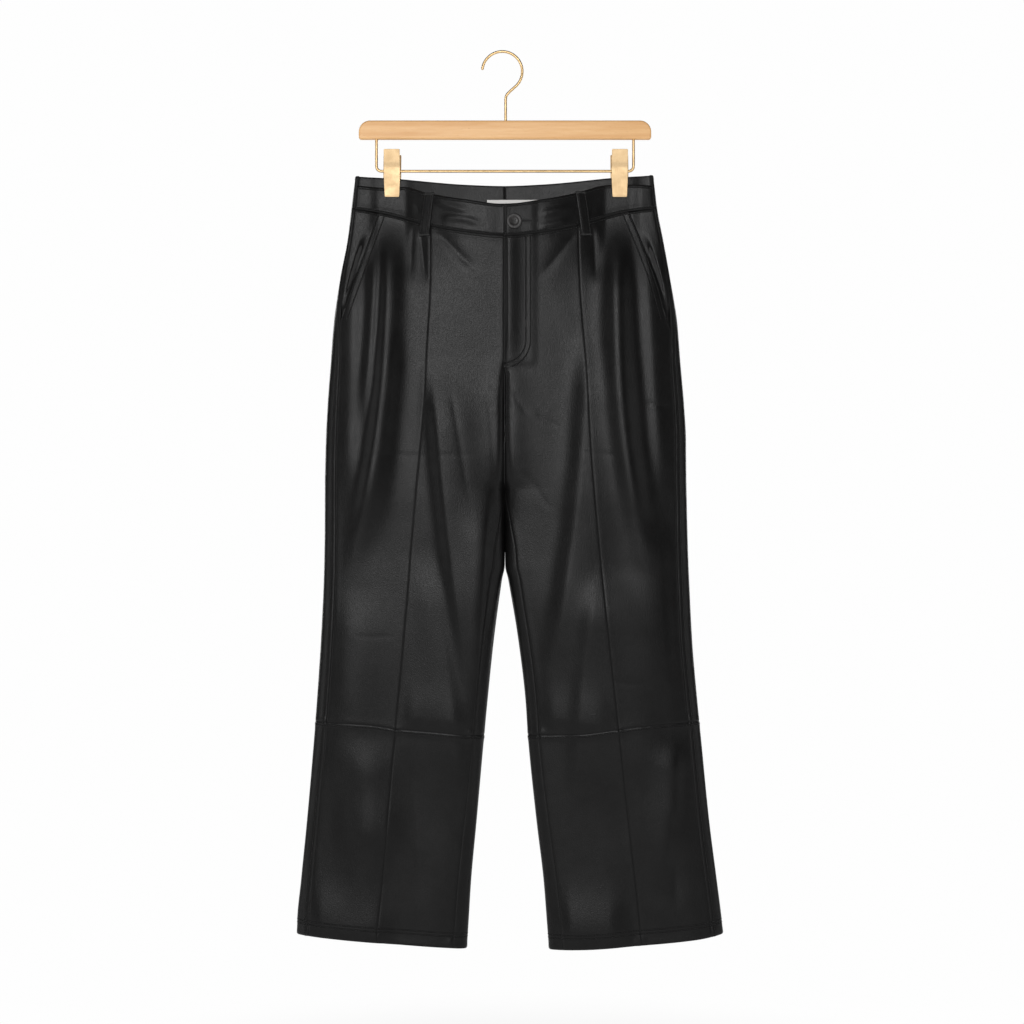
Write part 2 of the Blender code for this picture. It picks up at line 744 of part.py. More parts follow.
def belt_loops(material):
    """Two loops at the front, two near the folded sides and one at the centre back."""
    for loop in FRONT_LOOPS:
        run = np.linspace(0, 1, 8)[:, None]
        across = np.array([-0.5, 0.0, 0.5])[None, :] * LOOP_WIDTH
        x = loop.top_x + (loop.low_x - loop.top_x) * run + across
        z = loop.top_z + (loop.low_z - loop.top_z) * run + 0 * across
        loop_on(loop.name, loop.side, turn_at(loop.side, x, z), z, material)
    for name, side in SIDES.items():
        places = np.array(SIDE_LOOP_PLACES)[None, :]
        z = np.linspace(SIDE_LOOP_TOP, SIDE_LOOP_BOTTOM, 9)[:, None] + 0 * places
        turn = 2 * math.pi - turn_at(side, outer_edge(side, z) - side * places, z)
        loop_on(f"belt_loop_side_{name}", side, turn, z, material)
    x = np.array([-0.5, -0.2, 0.2, 0.5])[None, :] * LOOP_WIDTH
    z = np.linspace(BACK_LOOP_TOP, BACK_LOOP_BOTTOM, 8)[:, None] + 0 * x
    loop_on("belt_loop_back", RIGHT, 2 * math.pi - turn_at(RIGHT, x, z), z, material)


def label(material):
    """Plain woven label on the inside of the back band."""
    near, far = LABEL_EDGES
    x = np.linspace(near, far, 7)[None, :]
    z = np.array([LABEL_TOP, LABEL_TOP - LABEL_HEIGHT])[:, None] + 0 * x
    turn = 2 * math.pi - turn_at(RIGHT, x, z)
    band = leg_point(RIGHT, turn, z, BAND_WALL)
    near_face = band - np.array([0, GAP, 0])
    far_face = band - np.array([0, GAP + LABEL_WALL, 0])
    points, faces = closed_body(near_face, far_face)
    add_body("label", points, faces, material)


def turned(name, profile, centre, axis, segments, material):
    """A closed turned piece; the profile is (radius, height) from one pole to the other."""
    axis = Vector(axis).normalized()
    across = axis.orthogonal().normalized()
    beside = axis.cross(across)
    points, rings = [], []
    for radius, height in profile:
        middle = Vector(centre) + axis * height
        if radius == 0:
            rings.append([len(points)])
            points.append(middle)
            continue
        rings.append(list(range(len(points), len(points) + segments)))
        for k in range(segments):
            angle = 2 * math.pi * k / segments
            points.append(middle + (across * math.cos(angle) + beside * math.sin(angle)) * radius)
    faces = []
    for low, high in zip(rings, rings[1:]):
        for k in range(segments):
            n = (k + 1) % segments
            if len(low) == 1:
                faces.append((low[0], high[k], high[n]))
            elif len(high) == 1:
                faces.append((low[k], low[n], high[0]))
            else:
                faces.append((low[k], low[n], high[n], high[k]))
    return add_body(name, np.array([tuple(p) for p in points]), faces, material)


def button(material):
    """Rimmed button that closes the band over the fly."""
    x, z = BUTTON_CENTRE
    turn = turn_at(RIGHT, x, z)
    seat = leg_point(RIGHT, turn, z)
    normal = outward(RIGHT, turn, z)
    profile = (
        (0.0, BUTTON_SEAT),
        (BUTTON_RADIUS - 2.2, BUTTON_SEAT),
        (BUTTON_RADIUS, BUTTON_SEAT + 0.8),
        (BUTTON_RADIUS, BUTTON_HEIGHT - 0.6),
        (BUTTON_RADIUS - 0.8, BUTTON_HEIGHT),
        (BUTTON_RADIUS * 0.55, BUTTON_HEIGHT),
        (BUTTON_RADIUS * 0.45, BUTTON_HEIGHT - BUTTON_DISH),
        (0.0, BUTTON_HEIGHT - BUTTON_DISH),
    )
    turned("button", profile, tuple(seat), tuple(normal), 20, material)


def arc(centre, radius, start, end, count):
    """Points of an arc in the XZ plane, from one angle to another, in degrees."""
    angles = np.radians(np.linspace(start, end, count))
    return [(centre[0] + radius * math.cos(a), centre[1] + radius * math.sin(a)) for a in angles]


def tube(name, path, radius, sides, material):
    """A round wire along a path in the XZ plane, with flat ends."""
    path = np.array(path, float)
    along = np.gradient(path, axis=0)
    along /= np.linalg.norm(along, axis=1, keepdims=True)
    points, faces = [], []
    for (x, z), (run_x, run_z) in zip(path, along):
        for k in range(sides):
            angle = 2 * math.pi * k / sides
            reach = radius * math.cos(angle)
            points.append((x - run_z * reach, radius * math.sin(angle), z + run_x * reach))
    for ring in range(len(path) - 1):
        for k in range(sides):
            a, b = ring * sides + k, ring * sides + (k + 1) % sides
            faces.append((a, b, b + sides, a + sides))
    faces.append(tuple(range(sides)))
    faces.append(tuple(range(len(points) - sides, len(points))))
    return add_body(name, np.array(points), faces, material)


def hanger_hook(material):
    """Hook of bent wire, its shank let into the top of the bar."""
    path = arc(HOOK_CENTRE, HOOK_BEND, HOOK_TIP_ANGLE, HOOK_LEAVE_ANGLE, 21)
    leave_x, leave_z = path[-1]
    fall_x = SHANK_X + HOOK_SLOPE_END - leave_x
    fall_z = HOOK_KNEE_Z - leave_z
    path += [(leave_x + fall_x * share, leave_z + fall_z * share) for share in (0.4, 0.8)]
    path += [(SHANK_X + knot.x, HOOK_KNEE_Z + knot.z) for knot in HOOK_KNOTS]
    path += [(SHANK_X, BAR_TOP - BORE_DEPTH + GAP)]
    return tube("hanger_hook", path, HOOK_RADIUS, 10, material)


def hanger_wire(material):
    """Lower wire: two arms let into the bar and the rail that carries the clips."""
    corner = WIRE_ARM_X - WIRE_BEND
    top = BAR_BOTTOM + BORE_DEPTH - GAP
    path = [(-WIRE_ARM_X, top), (-WIRE_ARM_X, RAIL_Z + WIRE_BEND + 8)]
    path += arc((-corner, RAIL_Z + WIRE_BEND), WIRE_BEND, 180, 270, 6)
    path += [(-corner + 8, RAIL_Z), (corner - 8, RAIL_Z)]
    path += arc((corner, RAIL_Z + WIRE_BEND), WIRE_BEND, 270, 360, 6)
    path += [(WIRE_ARM_X, RAIL_Z + WIRE_BEND + 8), (WIRE_ARM_X, top)]
    return tube("hanger_wire", path, WIRE_RADIUS, 10, material)


def bore_cutter(x, end, mouth, radius):
    """Cutter for a blind bore in the bar."""
    profile = ((0.0, 0.0), (radius, 0.0), (radius, abs(mouth - end)), (0.0, abs(mouth - end)))
    cutter = turned("bore_cutter", profile, (x, 0, end), (0, 0, mouth - end), 14, None)
    cutter.hide_render = True
    cutter.display_type = "WIRE"
    return cutter


def hanger_bar(material):
    """Wooden bar with round shoulders and softened edges, bored for the hook and the lower wire."""
    half = BAR_LENGTH / 2
    top, low = BAR_TOP_RADIUS, BAR_BOTTOM_RADIUS
    outline = arc((half - top, BAR_TOP - top), top, 90, 0, 7)
    outline += arc((half - low, BAR_BOTTOM + low), low, 0, -90, 4)
    outline += arc((-half + low, BAR_BOTTOM + low), low, 270, 180, 4)
    outline += arc((-half + top, BAR_TOP - top), top, 180, 90, 7)
    centre = np.array([0.0, (BAR_TOP + BAR_BOTTOM) / 2])
    span = np.array([half, (BAR_TOP - BAR_BOTTOM) / 2])
    edge = BAR_THICKNESS / 2
    part_way = BAR_EDGE * 0.3
    back_layers = ((edge - BAR_EDGE, 0.0), (edge - part_way, part_way), (edge, BAR_EDGE))
    layers = tuple((-y, drawn_in) for y, drawn_in in back_layers[::-1]) + back_layers
    points, faces = [], []
    count = len(outline)
    for y, drawn_in in layers:
        for x, z in outline:
            place = centre + (np.array([x, z]) - centre) * (1 - drawn_in / span)
            points.append((place[0], y, place[1]))
    for layer in range(len(layers) - 1):
        for k in range(count):
            a, b = layer * count + k, layer * count + (k + 1) % count
            faces.append((a, b, b + count, a + count))
    faces.append(tuple(range(count)))
    faces.append(tuple(range(len(points) - count, len(points))))
    bar = add_body("hanger_bar", np.array(points), faces, material, 30.0)
    for x, end, mouth, radius in (
        (SHANK_X, BAR_TOP - BORE_DEPTH, BAR_TOP + BORE_OVERRUN, HOOK_RADIUS),
        (-WIRE_ARM_X, BAR_BOTTOM + BORE_DEPTH, BAR_BOTTOM - BORE_OVERRUN, WIRE_RADIUS),
        (WIRE_ARM_X, BAR_BOTTOM + BORE_DEPTH, BAR_BOTTOM - BORE_OVERRUN, WIRE_RADIUS),
    ):
        cut = bar.modifiers.new("bore", "BOOLEAN")
        cut.operation = "DIFFERENCE"
        cut.solver = "EXACT"
        cut.object = bore_cutter(x, end, mouth, radius + BORE_CLEARANCE)
    return bar


def jaw(name, x, facing, top, width, material):
    """Sheet jaw of a clip: a finger plate that leans out above the rail and a grip below it."""
    tip = (Bend(top, FINGER_PLATE, -0.6), Bend(top - 1.5, FINGER_PLATE - 0.1, 0.0))
    near, far = [], []
    for bend in tip + JAW_BENDS:
        row = np.array([-1.0, -0.5, 0.5, 1.0]) * (width / 2 + bend.half_width)
        near.append([(x + across, facing * bend.y, bend.z) for across in row])
        far.append([(x + across, facing * (bend.y + JAW_SHEET), bend.z) for across in row])
    points, faces = closed_body(np.array(far), np.array(near))
    return add_body(name, points, faces, material, 30.0)


def clip_spring(name, x, material):
    """Coil round the rail that the two jaws turn on, as one plain sleeve."""
    sides = 14
    half = SLEEVE_LENGTH / 2
    corners = ((SLEEVE_BORE, -half), (SLEEVE_RADIUS, -half), (SLEEVE_RADIUS, half), (SLEEVE_BORE, half))
    points, faces = [], []
    for radius, end in corners:
        for k in range(sides):
            angle = 2 * math.pi * k / sides
            points.append((x + end, radius * math.cos(angle), RAIL_Z + radius * math.sin(angle)))
    for ring in range(4):
        for k in range(sides):
            n = (k + 1) % sides
            after = (ring + 1) % 4
            faces.append((ring * sides + k, ring * sides + n, after * sides + n, after * sides + k))
    return add_body(name, np.array(points), faces, material, 30.0)


def clips(material):
    for name, x in CLIP_CENTRE.items():
        jaw(f"clip_jaw_front_{name}", x, -1, JAW_TOP, JAW_WIDTH, material)
        jaw(f"clip_jaw_back_{name}", x, 1, JAW_BACK_TOP, JAW_WIDTH + JAW_BACK_EXTRA, material)
        clip_spring(f"clip_spring_{name}", x, material)


def main():
    for thing in list(bpy.data.objects):
        bpy.data.objects.remove(thing)
    vinyl = make_material("vinyl", (0.022, 0.021, 0.021), 0.38)
    button_plastic = make_material("button_plastic", (0.035, 0.033, 0.032), 0.35)
    woven_label = make_material("woven_label", (0.82, 0.81, 0.79), 0.7)
    wood = make_material("wood", (0.72, 0.43, 0.19), 0.45)
    brass = make_material("brass", (0.8, 0.62, 0.36), 0.3, 1.0)
    wire = make_material("wire", (0.56, 0.42, 0.25), 0.35, 1.0)
    for name, side in SIDES.items():
        front_legs(name, side, vinyl)
        back_legs(name, side, vinyl)
        pocket_facing(name, side, vinyl)
        waistband_front(name, side, vinyl)
        waistband_back(name, side, vinyl)
    fly_shield(vinyl)
    belt_loops(vinyl)
    label(woven_label)
    button(button_plastic)
    hanger_bar(wood)
    hanger_hook(wire)
    hanger_wire(wire)
    clips(brass)


main()
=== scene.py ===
# %% [markdown]
# # Vinyl trousers on a clip hanger
# The trousers are black vinyl cloth sewn from flat panels, and hang by their waistband from two clips.
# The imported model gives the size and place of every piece, so it is loaded first and never moved.
# Everything seen here is built on it: finer cloth, sewing, leather grain, wood, brass and light.

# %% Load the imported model
import math
from collections import namedtuple

import bmesh
import bpy
import numpy as np
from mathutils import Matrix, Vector
from mathutils.bvhtree import BVHTree


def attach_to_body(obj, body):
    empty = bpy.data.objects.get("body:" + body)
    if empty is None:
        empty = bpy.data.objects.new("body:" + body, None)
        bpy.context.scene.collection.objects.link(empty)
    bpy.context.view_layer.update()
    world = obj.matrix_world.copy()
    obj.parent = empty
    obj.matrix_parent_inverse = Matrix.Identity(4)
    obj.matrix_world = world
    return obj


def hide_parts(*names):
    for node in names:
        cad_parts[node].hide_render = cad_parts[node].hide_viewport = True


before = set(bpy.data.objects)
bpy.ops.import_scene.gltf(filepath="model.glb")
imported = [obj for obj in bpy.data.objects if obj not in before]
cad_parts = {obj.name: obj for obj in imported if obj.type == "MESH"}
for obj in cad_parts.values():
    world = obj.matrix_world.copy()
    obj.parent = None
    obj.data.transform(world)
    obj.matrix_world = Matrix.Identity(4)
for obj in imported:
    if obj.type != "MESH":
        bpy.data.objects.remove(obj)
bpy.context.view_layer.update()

# %% [markdown]
# ## Camera
# A product picture is taken from far off with a long lens, level with the middle of the garment, so
# that its edges stay parallel. The lens is worked out from how much of the hanger's plane the picture
# shows, which is simpler to check than a guessed focal length.

# %% Camera
METRES = 0.001
EYE = (8.96, -3200.0, -587.4)
PICTURE_WIDTH = 1310.7

camera = bpy.data.objects.new("camera", bpy.data.cameras.new("camera"))
bpy.context.scene.collection.objects.link(camera)
camera.location = Vector(EYE) * METRES
camera.rotation_euler = (math.radians(90), 0, 0)
camera.data.sensor_width = 36.0
camera.data.lens = camera.data.sensor_width * -EYE[1] / PICTURE_WIDTH
camera.data.clip_end = 60.0
bpy.context.scene.camera = camera
print("lens in millimetres:", round(camera.data.lens, 1))

# %% [markdown]
# ## The legs as formulas
# Real trousers are two tubes of cloth that meet at the crotch. Each tube here is a soft rectangle that
# changes from height to height, so a few measured levels describe it and curves run between them.
# The tables below are in millimetres: X to the viewer's right, the front towards -Y, Z up, and the
# origin where the hook hangs. They are the same sizes that the solids were made from.

# %% Sizes of the legs
LEFT, RIGHT = -1, 1
SIDES = {"L": LEFT, "R": RIGHT}
WALL = 1.6
BAND_WALL = 2.4
LOOP_WALL = 2.0
FACING_WALL = 1.2
GAP = 0.3
SEAM = 0.03
ROUNDNESS = 3.2
PINCH_FULL, PINCH_GONE = -185.0, -345.0
THIGHS_MEET, THIGHS_PART, THIGHS_PRESS = -552.0, -672.0, 0.45
MEET_FADE, PART_FADE = 8.0, 12.0
CROTCH_LAP, CROTCH_LAP_START, CROTCH_LAP_FADE = 1.1, -470.0, 30.0

Level = namedtuple("Level", "z left_outer left_inner right_inner right_outer front back")
# Edges of both legs and the depth of the cloth before and behind the hanger's plane, by height.
# An inner edge beyond x = 0 is a leg that runs into the other one.
LEVELS = (
    Level(-1150, -266.5, -49.0, 56.5, 281.0, 17, 16),
    Level(-1110, -266.0, -46.4, 53.4, 277.5, 17, 16),
    Level(-1058, -261.0, -43.2, 49.3, 271.0, 17, 16),
    Level(-982, -253.4, -36.2, 40.2, 261.3, 17, 16),
    Level(-879, -244.5, -27.0, 29.6, 251.1, 18, 16),
    Level(-828, -240.6, -22.2, 26.2, 246.0, 18, 16),
    Level(-751, -235.5, -14.2, 17.0, 239.5, 19, 17),
    Level(-674, -231.9, -3.8, 4.2, 235.7, 20, 18),
    Level(-655, -231.4, -0.7, 0.7, 234.9, 20, 18),
    Level(-600, -230.6, -0.2, 0.2, 233.3, 21, 19),
    Level(-560, -230.5, -0.15, 0.15, 232.4, 22, 20),
    Level(-545, -230.4, 12.0, -12.0, 232.1, 22, 20),
    Level(-525, -230.0, 42.0, -42.0, 231.9, 22, 20),
    Level(-495, -229.2, 128.0, -128.0, 231.7, 22, 20),
    Level(-455, -227.3, 215.0, -215.0, 229.6, 22, 20),
    Level(-392, -222.7, 219.0, -219.0, 224.2, 22, 20),
    Level(-345, -219.0, 219.0, -219.0, 220.5, 22, 19),
    Level(-290, -211.0, 210.0, -211.0, 211.5, 22, 17),
    Level(-240, -201.0, 200.5, -201.0, 202.0, 23, 15),
    Level(-200, -195.6, 192.5, -195.6, 194.0, 25, 13),
    Level(-150, -190.5, 187.5, -190.5, 189.0, 27, 12),
)

Pinch = namedtuple("Pinch", "x front back")
# Depth at the waist, pressed flat by the clips and bowed between them.
PINCH = (
    Pinch(0, 27.0, 11.5),
    Pinch(50, 24.0, 10.5),
    Pinch(90, 15.5, 8.0),
    Pinch(116, 7.5, 5.0),
    Pinch(130, 2.85, 2.85),
    Pinch(160, 2.85, 2.85),
    Pinch(176, 7.0, 5.5),
    Pinch(200, 8.0, 6.5),
)

SeamOffset = namedtuple("SeamOffset", "z outer inner")
# How far the side seam and the inseam lie in from the leg's outer and inner edge.
SEAM_OFFSETS = (
    SeamOffset(-1150, 16.0, 18.0),
    SeamOffset(-1000, 15.5, 16.0),
    SeamOffset(-860, 15.0, 14.0),
    SeamOffset(-720, 15.0, 14.0),
    SeamOffset(-665, 15.0, 15.0),
    SeamOffset(-636, 14.7, 13.5),
    SeamOffset(-600, 14.5, 7.0),
    SeamOffset(-560, 14.2, 0.3),
    SeamOffset(-400, 12.0, 0.3),
    SeamOffset(-345, 8.0, 0.3),
    SeamOffset(-290, 4.5, 0.3),
    SeamOffset(-150, 2.5, 0.3),
)
print("levels:", len(LEVELS))

# %% Lines of the seams
SeamLine = namedtuple("SeamLine", "z left right")
FRONT_SEAM = (
    SeamLine(-1150, -165.3, 175.3),
    SeamLine(-1060, -156.2, 166.4),
    SeamLine(-987, -149.8, 157.4),
    SeamLine(-860, -139.0, 144.3),
    SeamLine(-776, -131.2, 135.0),
    SeamLine(-660, -121.6, 123.0),
    SeamLine(-592, -115.7, 116.6),
    SeamLine(-515, -108.8, 110.0),
    SeamLine(-425, -102.0, 104.6),
    SeamLine(-367, -98.6, 100.5),
    SeamLine(-300, -95.2, 95.8),
    SeamLine(-200, -96.0, 93.0),
)
POCKET_EDGE = (
    SeamLine(-440, -262.0, 262.0),
    SeamLine(-344, -210.5, 207.5),
    SeamLine(-300, -195.0, 195.0),
    SeamLine(-250, -177.5, 177.5),
    SeamLine(-200, -160.2, 157.5),
)

EdgeLine = namedtuple("EdgeLine", "x z")
FRONT_TOP = (
    EdgeLine(-191, -170.0),
    EdgeLine(-157, -172.5),
    EdgeLine(-131, -171.5),
    EdgeLine(-102, -180.0),
    EdgeLine(-50, -190.0),
    EdgeLine(0, -196.0),
    EdgeLine(50, -189.5),
    EdgeLine(90, -181.0),
    EdgeLine(134, -169.0),
    EdgeLine(158, -168.5),
    EdgeLine(188, -170.0),
)
BACK_TOP = (
    EdgeLine(-191, -157.7),
    EdgeLine(-133, -161.5),
    EdgeLine(-50, -167.5),
    EdgeLine(0, -169.0),
    EdgeLine(50, -167.0),
    EdgeLine(136, -160.0),
    EdgeLine(188, -156.5),
)
FRONT_WAIST_SEAM = (
    EdgeLine(-196, -199.6),
    EdgeLine(-165, -203.8),
    EdgeLine(-139, -209.2),
    EdgeLine(-95, -222.4),
    EdgeLine(-50, -231.0),
    EdgeLine(0, -236.0),
    EdgeLine(40, -232.6),
    EdgeLine(96, -220.4),
    EdgeLine(153, -203.8),
    EdgeLine(193, -199.2),
)
KNEE_SEAM = (
    EdgeLine(-245, -854.4),
    EdgeLine(-171, -858.4),
    EdgeLine(-138, -863.6),
    EdgeLine(-92, -867.5),
    EdgeLine(-28, -872.0),
    EdgeLine(31, -872.0),
    EdgeLine(97, -870.0),
    EdgeLine(145, -863.6),
    EdgeLine(189, -858.4),
    EdgeLine(250, -854.4),
)
HEM = (
    EdgeLine(-266, -1126.5),
    EdgeLine(-202, -1132.8),
    EdgeLine(-148, -1137.4),
    EdgeLine(-74, -1143.2),
    EdgeLine(-50, -1144.8),
    EdgeLine(57, -1146.2),
    EdgeLine(100, -1145.3),
    EdgeLine(172, -1140.0),
    EdgeLine(246, -1132.8),
    EdgeLine(280, -1126.0),
)
BACK_BAND_HEIGHT = 41.0
FLY_EDGE = -2.0
FLY_END = -402.0
FLY_WIDTH = 32.0
FLY_RISE = 1.1
FLY_FADE = 12.0
FLY_END_FADE = 14.0
FLY_REACH = -20.0
print("points on the waist seam, knee seam and hem:", len(FRONT_WAIST_SEAM), len(KNEE_SEAM), len(HEM))

# %% [markdown]
# ## Creases
# Vinyl doesn't drape like wool. It falls in long soft ridges from the hips, sinks into a shallow
# trough beside each ridge, and keeps the sharp lines it was folded along in a box. Cloth simulation
# would give other folds than these, so each one is given as a row of the table: its path
# down or across the cloth, how far it spreads to its left and right, and how far it stands out
# (above 0) or sinks in. A crease across the cloth spreads down and up instead.

# %% Creases
Crease = namedtuple("Crease", "face top_x top_z mid_x mid_z low_x low_z left right height")
CREASES = (
    Crease("front", -151, -192, -156, -430, -207, -700, 12.0, 17.0, 7.8),
    Crease("front", -146, -340, -152, -460, -170, -640, 30.0, 16.0, 4.0),
    Crease("front", -165, -236, -171, -367, -184, -500, 9.0, 5.5, 4.0),
    Crease("front", -194, -262, -197, -390, -200, -600, 22.0, 14.0, 4.5),
    Crease("front", -108, -225, -105, -255, -101, -300, 5.0, 5.0, -2.5),
    Crease("front", -87, -228, -65, -252, -35, -284, 7.0, 7.0, -2.2),
    Crease("front", -91, -385, -76, -560, -40, -845, 14.0, 60.0, 9.0),
    Crease("front", -8, -385, -8, -480, -12, -600, 16.0, 5.0, 2.0),
    Crease("front", -20, -530, -34, -740, -48, -1000, 24.0, 10.0, 6.5),
    Crease("front", -94, -630, -72, -820, -58, -990, 32.0, 14.0, 4.2),
    Crease("front", -190, -680, -197, -820, -204, -990, 34.0, 34.0, 4.0),
    Crease("front", -250, -785, -150, -790, -10, -800, 80.0, 75.0, 2.4),
    Crease("front", -178, -872, -173, -960, -196, -1110, 24.0, 30.0, 4.6),
    Crease("front", -118, -880, -112, -990, -105, -1110, 22.0, 22.0, -2.5),
    Crease("front", 5, -206, 5, -300, 5, -430, 4.0, 12.0, 3.5),
    Crease("front", -1, -385, -1, -480, -1, -690, 4.0, 4.0, -5.0),
    Crease("front", 97, -224, 76, -250, 42, -296, 9.0, 7.0, -2.0),
    Crease("front", 112, -222, 114, -252, 118, -300, 6.0, 6.0, -2.2),
    Crease("front", 146, -198, 147, -420, 190, -700, 17.0, 18.0, 11.0),
    Crease("front", 180, -215, 188, -370, 206, -600, 12.0, 22.0, 4.5),
    Crease("front", 108, -340, 97, -560, 50, -840, 18.0, 70.0, 8.5),
    Crease("front", 194, -590, 200, -726, 214, -866, 40.0, 16.0, 4.0),
    Crease("front", 146, -660, 160, -800, 176, -1010, 60.0, 50.0, 6.0),
    Crease("front", 124, -650, 101, -820, 92, -990, 15.0, 45.0, 4.5),
    Crease("front", 30, -785, 160, -790, 300, -795, 80.0, 85.0, 2.0),
    Crease("front", 7, -385, 8, -480, 12, -600, 5.0, 18.0, 1.8),
    Crease("front", 40, -846, 92, -852, 150, -858, 14.0, 40.0, 3.0),
    Crease("front", -136, -846, -84, -850, -34, -856, 14.0, 40.0, 3.0),
    Crease("front", -262, -1112, -205, -1118, -130, -1125, 22.0, 45.0, 6.0),
    Crease("front", 62, -1122, 108, -1122, 168, -1118, 22.0, 45.0, 6.0),
    Crease("front", -225, -985, -172, -990, -118, -995, 25.0, 40.0, 3.0),
    Crease("front", 150, -985, 200, -990, 250, -1000, 35.0, 45.0, 3.0),
    Crease("front", 214, -868, 212, -956, 194, -1080, 22.0, 13.0, 5.0),
    Crease("front", 216, -960, 215, -1020, 222, -1110, 12.0, 12.0, -2.5),
    Crease("back", -148, -240, -150, -400, -160, -560, 12.0, 18.0, 5.0),
    Crease("back", -112, -250, -106, -450, -84, -700, 12.0, 16.0, -4.5),
    Crease("back", -176, -300, -184, -470, -192, -700, 16.0, 12.0, 3.5),
    Crease("back", -70, -420, -92, -600, -130, -850, 30.0, 14.0, 4.0),
    Crease("back", -130, -890, -150, -1000, -160, -1120, 24.0, 24.0, -3.0),
    Crease("back", 148, -240, 152, -420, 168, -600, 18.0, 12.0, 5.0),
    Crease("back", 118, -260, 108, -430, 92, -660, 15.0, 12.0, -4.5),
    Crease("back", 180, -310, 186, -500, 198, -720, 12.0, 16.0, 3.5),
    Crease("back", 78, -430, 104, -640, 136, -860, 14.0, 30.0, 4.0),
    Crease("back", 180, -880, 168, -1000, 150, -1120, 26.0, 26.0, 3.0),
    Crease("front", -117, -215, -119, -252, -121, -300, 5.0, 5.0, -1.6),
    Crease("front", -70, -425, -56, -508, -45, -580, 5.0, 5.0, -1.0),
    Crease("front", -22, -430, -15, -508, -14, -565, 5.0, 5.0, -0.9),
    Crease("front", -206, -511, -105, -516, -12, -513, 2.0, 2.4, -0.45),
    Crease("front", -198, -744, -163, -746, -130, -745, 2.5, 2.5, -0.35),
    Crease("front", -227, -448, -212, -452, -199, -455, 3.0, 3.0, -0.8),
    Crease("front", 9, -434, 20, -452, 32, -468, 2.6, 3.4, -0.9),
    Crease("front", 37, -462, 54, -472, 72, -480, 2.6, 3.6, -0.7),
    Crease("front", 23, -532, 42, -562, 60, -590, 3.0, 4.0, -0.9),
    Crease("front", 6, -438, 9, -464, 8, -492, 2.4, 2.4, -0.6),
    Crease("front", 92, -511, 125, -514, 157, -518, 2.0, 2.4, -0.45),
    Crease("front", 176, -448, 195, -452, 217, -457, 3.0, 3.0, -0.8),
    Crease("front", 128, -800, 170, -806, 214, -803, 3.5, 3.5, -0.5),
    Crease("front", -216, -1000, -190, -1004, -160, -1001, 3.0, 3.0, -0.35),
    Crease("front", -134, -180, -119, -192, -104, -206, 3.5, 3.5, -1.6),
    Crease("front", -176, -192, -160, -186, -141, -190, 6.0, 5.0, 1.4),
    Crease("front", -92, -190, -70, -199, -38, -206, 4.0, 6.0, 1.6),
    Crease("front", -84, -214, -56, -214, -24, -224, 5.0, 4.0, 1.5),
    Crease("front", 42, -210, 62, -205, 90, -199, 6.0, 5.0, 1.6),
    Crease("front", 40, -224, 60, -221, 88, -213, 4.0, 4.0, 1.3),
    Crease("front", 104, -204, 122, -194, 136, -182, 4.0, 5.0, -1.6),
    Crease("front", 150, -186, 164, -190, 182, -188, 5.0, 6.0, 1.3),
    Crease("back", -205, -514, -110, -517, -14, -512, 2.2, 2.4, -0.45),
    Crease("back", 14, -512, 105, -516, 206, -513, 2.2, 2.4, -0.45),
    Crease("back", -30, -470, -52, -500, -84, -528, 4.0, 6.0, -1.3),
    Crease("back", 30, -470, 54, -502, 86, -530, 6.0, 4.0, -1.3),
    Crease("back", -24, -520, -48, -556, -70, -600, 4.0, 6.0, -1.3),
    Crease("back", 24, -520, 46, -558, 72, -602, 6.0, 4.0, -1.3),
    Crease("back", -180, -845, -130, -838, -80, -846, 8.0, 12.0, 1.6),
    Crease("back", 82, -846, 136, -838, 186, -845, 8.0, 12.0, 1.6),
)
CREASE_TOP_FADE = 0.22
CREASE_LOW_FADE = 0.35
CREASE_ROOM = (3.0, 12.0)
TROUGH_FALL, TROUGH_ROUND = 1.25, 0.02
BROAD_WAVE, FINE_WAVE = 0.30, 0.12
BACK_WAVE_SHIFT = 300.0
print("creases:", len(CREASES))

# %% Curves through the tables


def smooth(table, at, name):
    """A table's column read between its rows, on a curve with no overshoot."""
    rows = sorted(table)
    xs = np.array([row[0] for row in rows], float)
    ys = np.array([getattr(row, name) for row in rows], float)
    at = np.clip(np.asarray(at, float), xs[0], xs[-1])
    step = np.diff(xs)
    rise = np.diff(ys) / step
    slope = np.zeros(len(xs))
    slope[0], slope[-1] = rise[0], rise[-1]
    with np.errstate(divide="ignore", invalid="ignore"):
        mean = 2 * rise[:-1] * rise[1:] / (rise[:-1] + rise[1:])
    slope[1:-1] = np.where(rise[:-1] * rise[1:] > 0, mean, 0.0)
    k = np.clip(np.searchsorted(xs, at, side="right") - 1, 0, len(step) - 1)
    t = (at - xs[k]) / step[k]
    return (
        ys[k] * (1 + 2 * t) * (1 - t) ** 2
        + slope[k] * step[k] * t * (1 - t) ** 2
        + ys[k + 1] * t * t * (3 - 2 * t)
        + slope[k + 1] * step[k] * t * t * (t - 1)
    )


def ease(value):
    """0 below 0, 1 above 1, and a soft step between."""
    value = np.clip(value, 0.0, 1.0)
    return value * value * (3 - 2 * value)


def bump(value):
    """1 at 0, falling softly to nothing at about 2."""
    return np.exp(-value * value)


def side_name(side):
    return "left" if side == LEFT else "right"


def outer_edge(side, z):
    return smooth(LEVELS, z, side_name(side) + "_outer")


def inner_edge(side, z):
    """The inner edge of a leg; just below the crotch the thighs press together."""
    pressed = ease((z - THIGHS_PART) / PART_FADE) * ease((THIGHS_MEET - z) / MEET_FADE)
    return smooth(LEVELS, z, side_name(side) + "_inner") - side * THIGHS_PRESS * pressed


def front_seam(side, z):
    return smooth(FRONT_SEAM, z, side_name(side))


def pocket_edge(side, z):
    return smooth(POCKET_EDGE, z, side_name(side))


def edge_height(table, x):
    return smooth(table, x, "z")


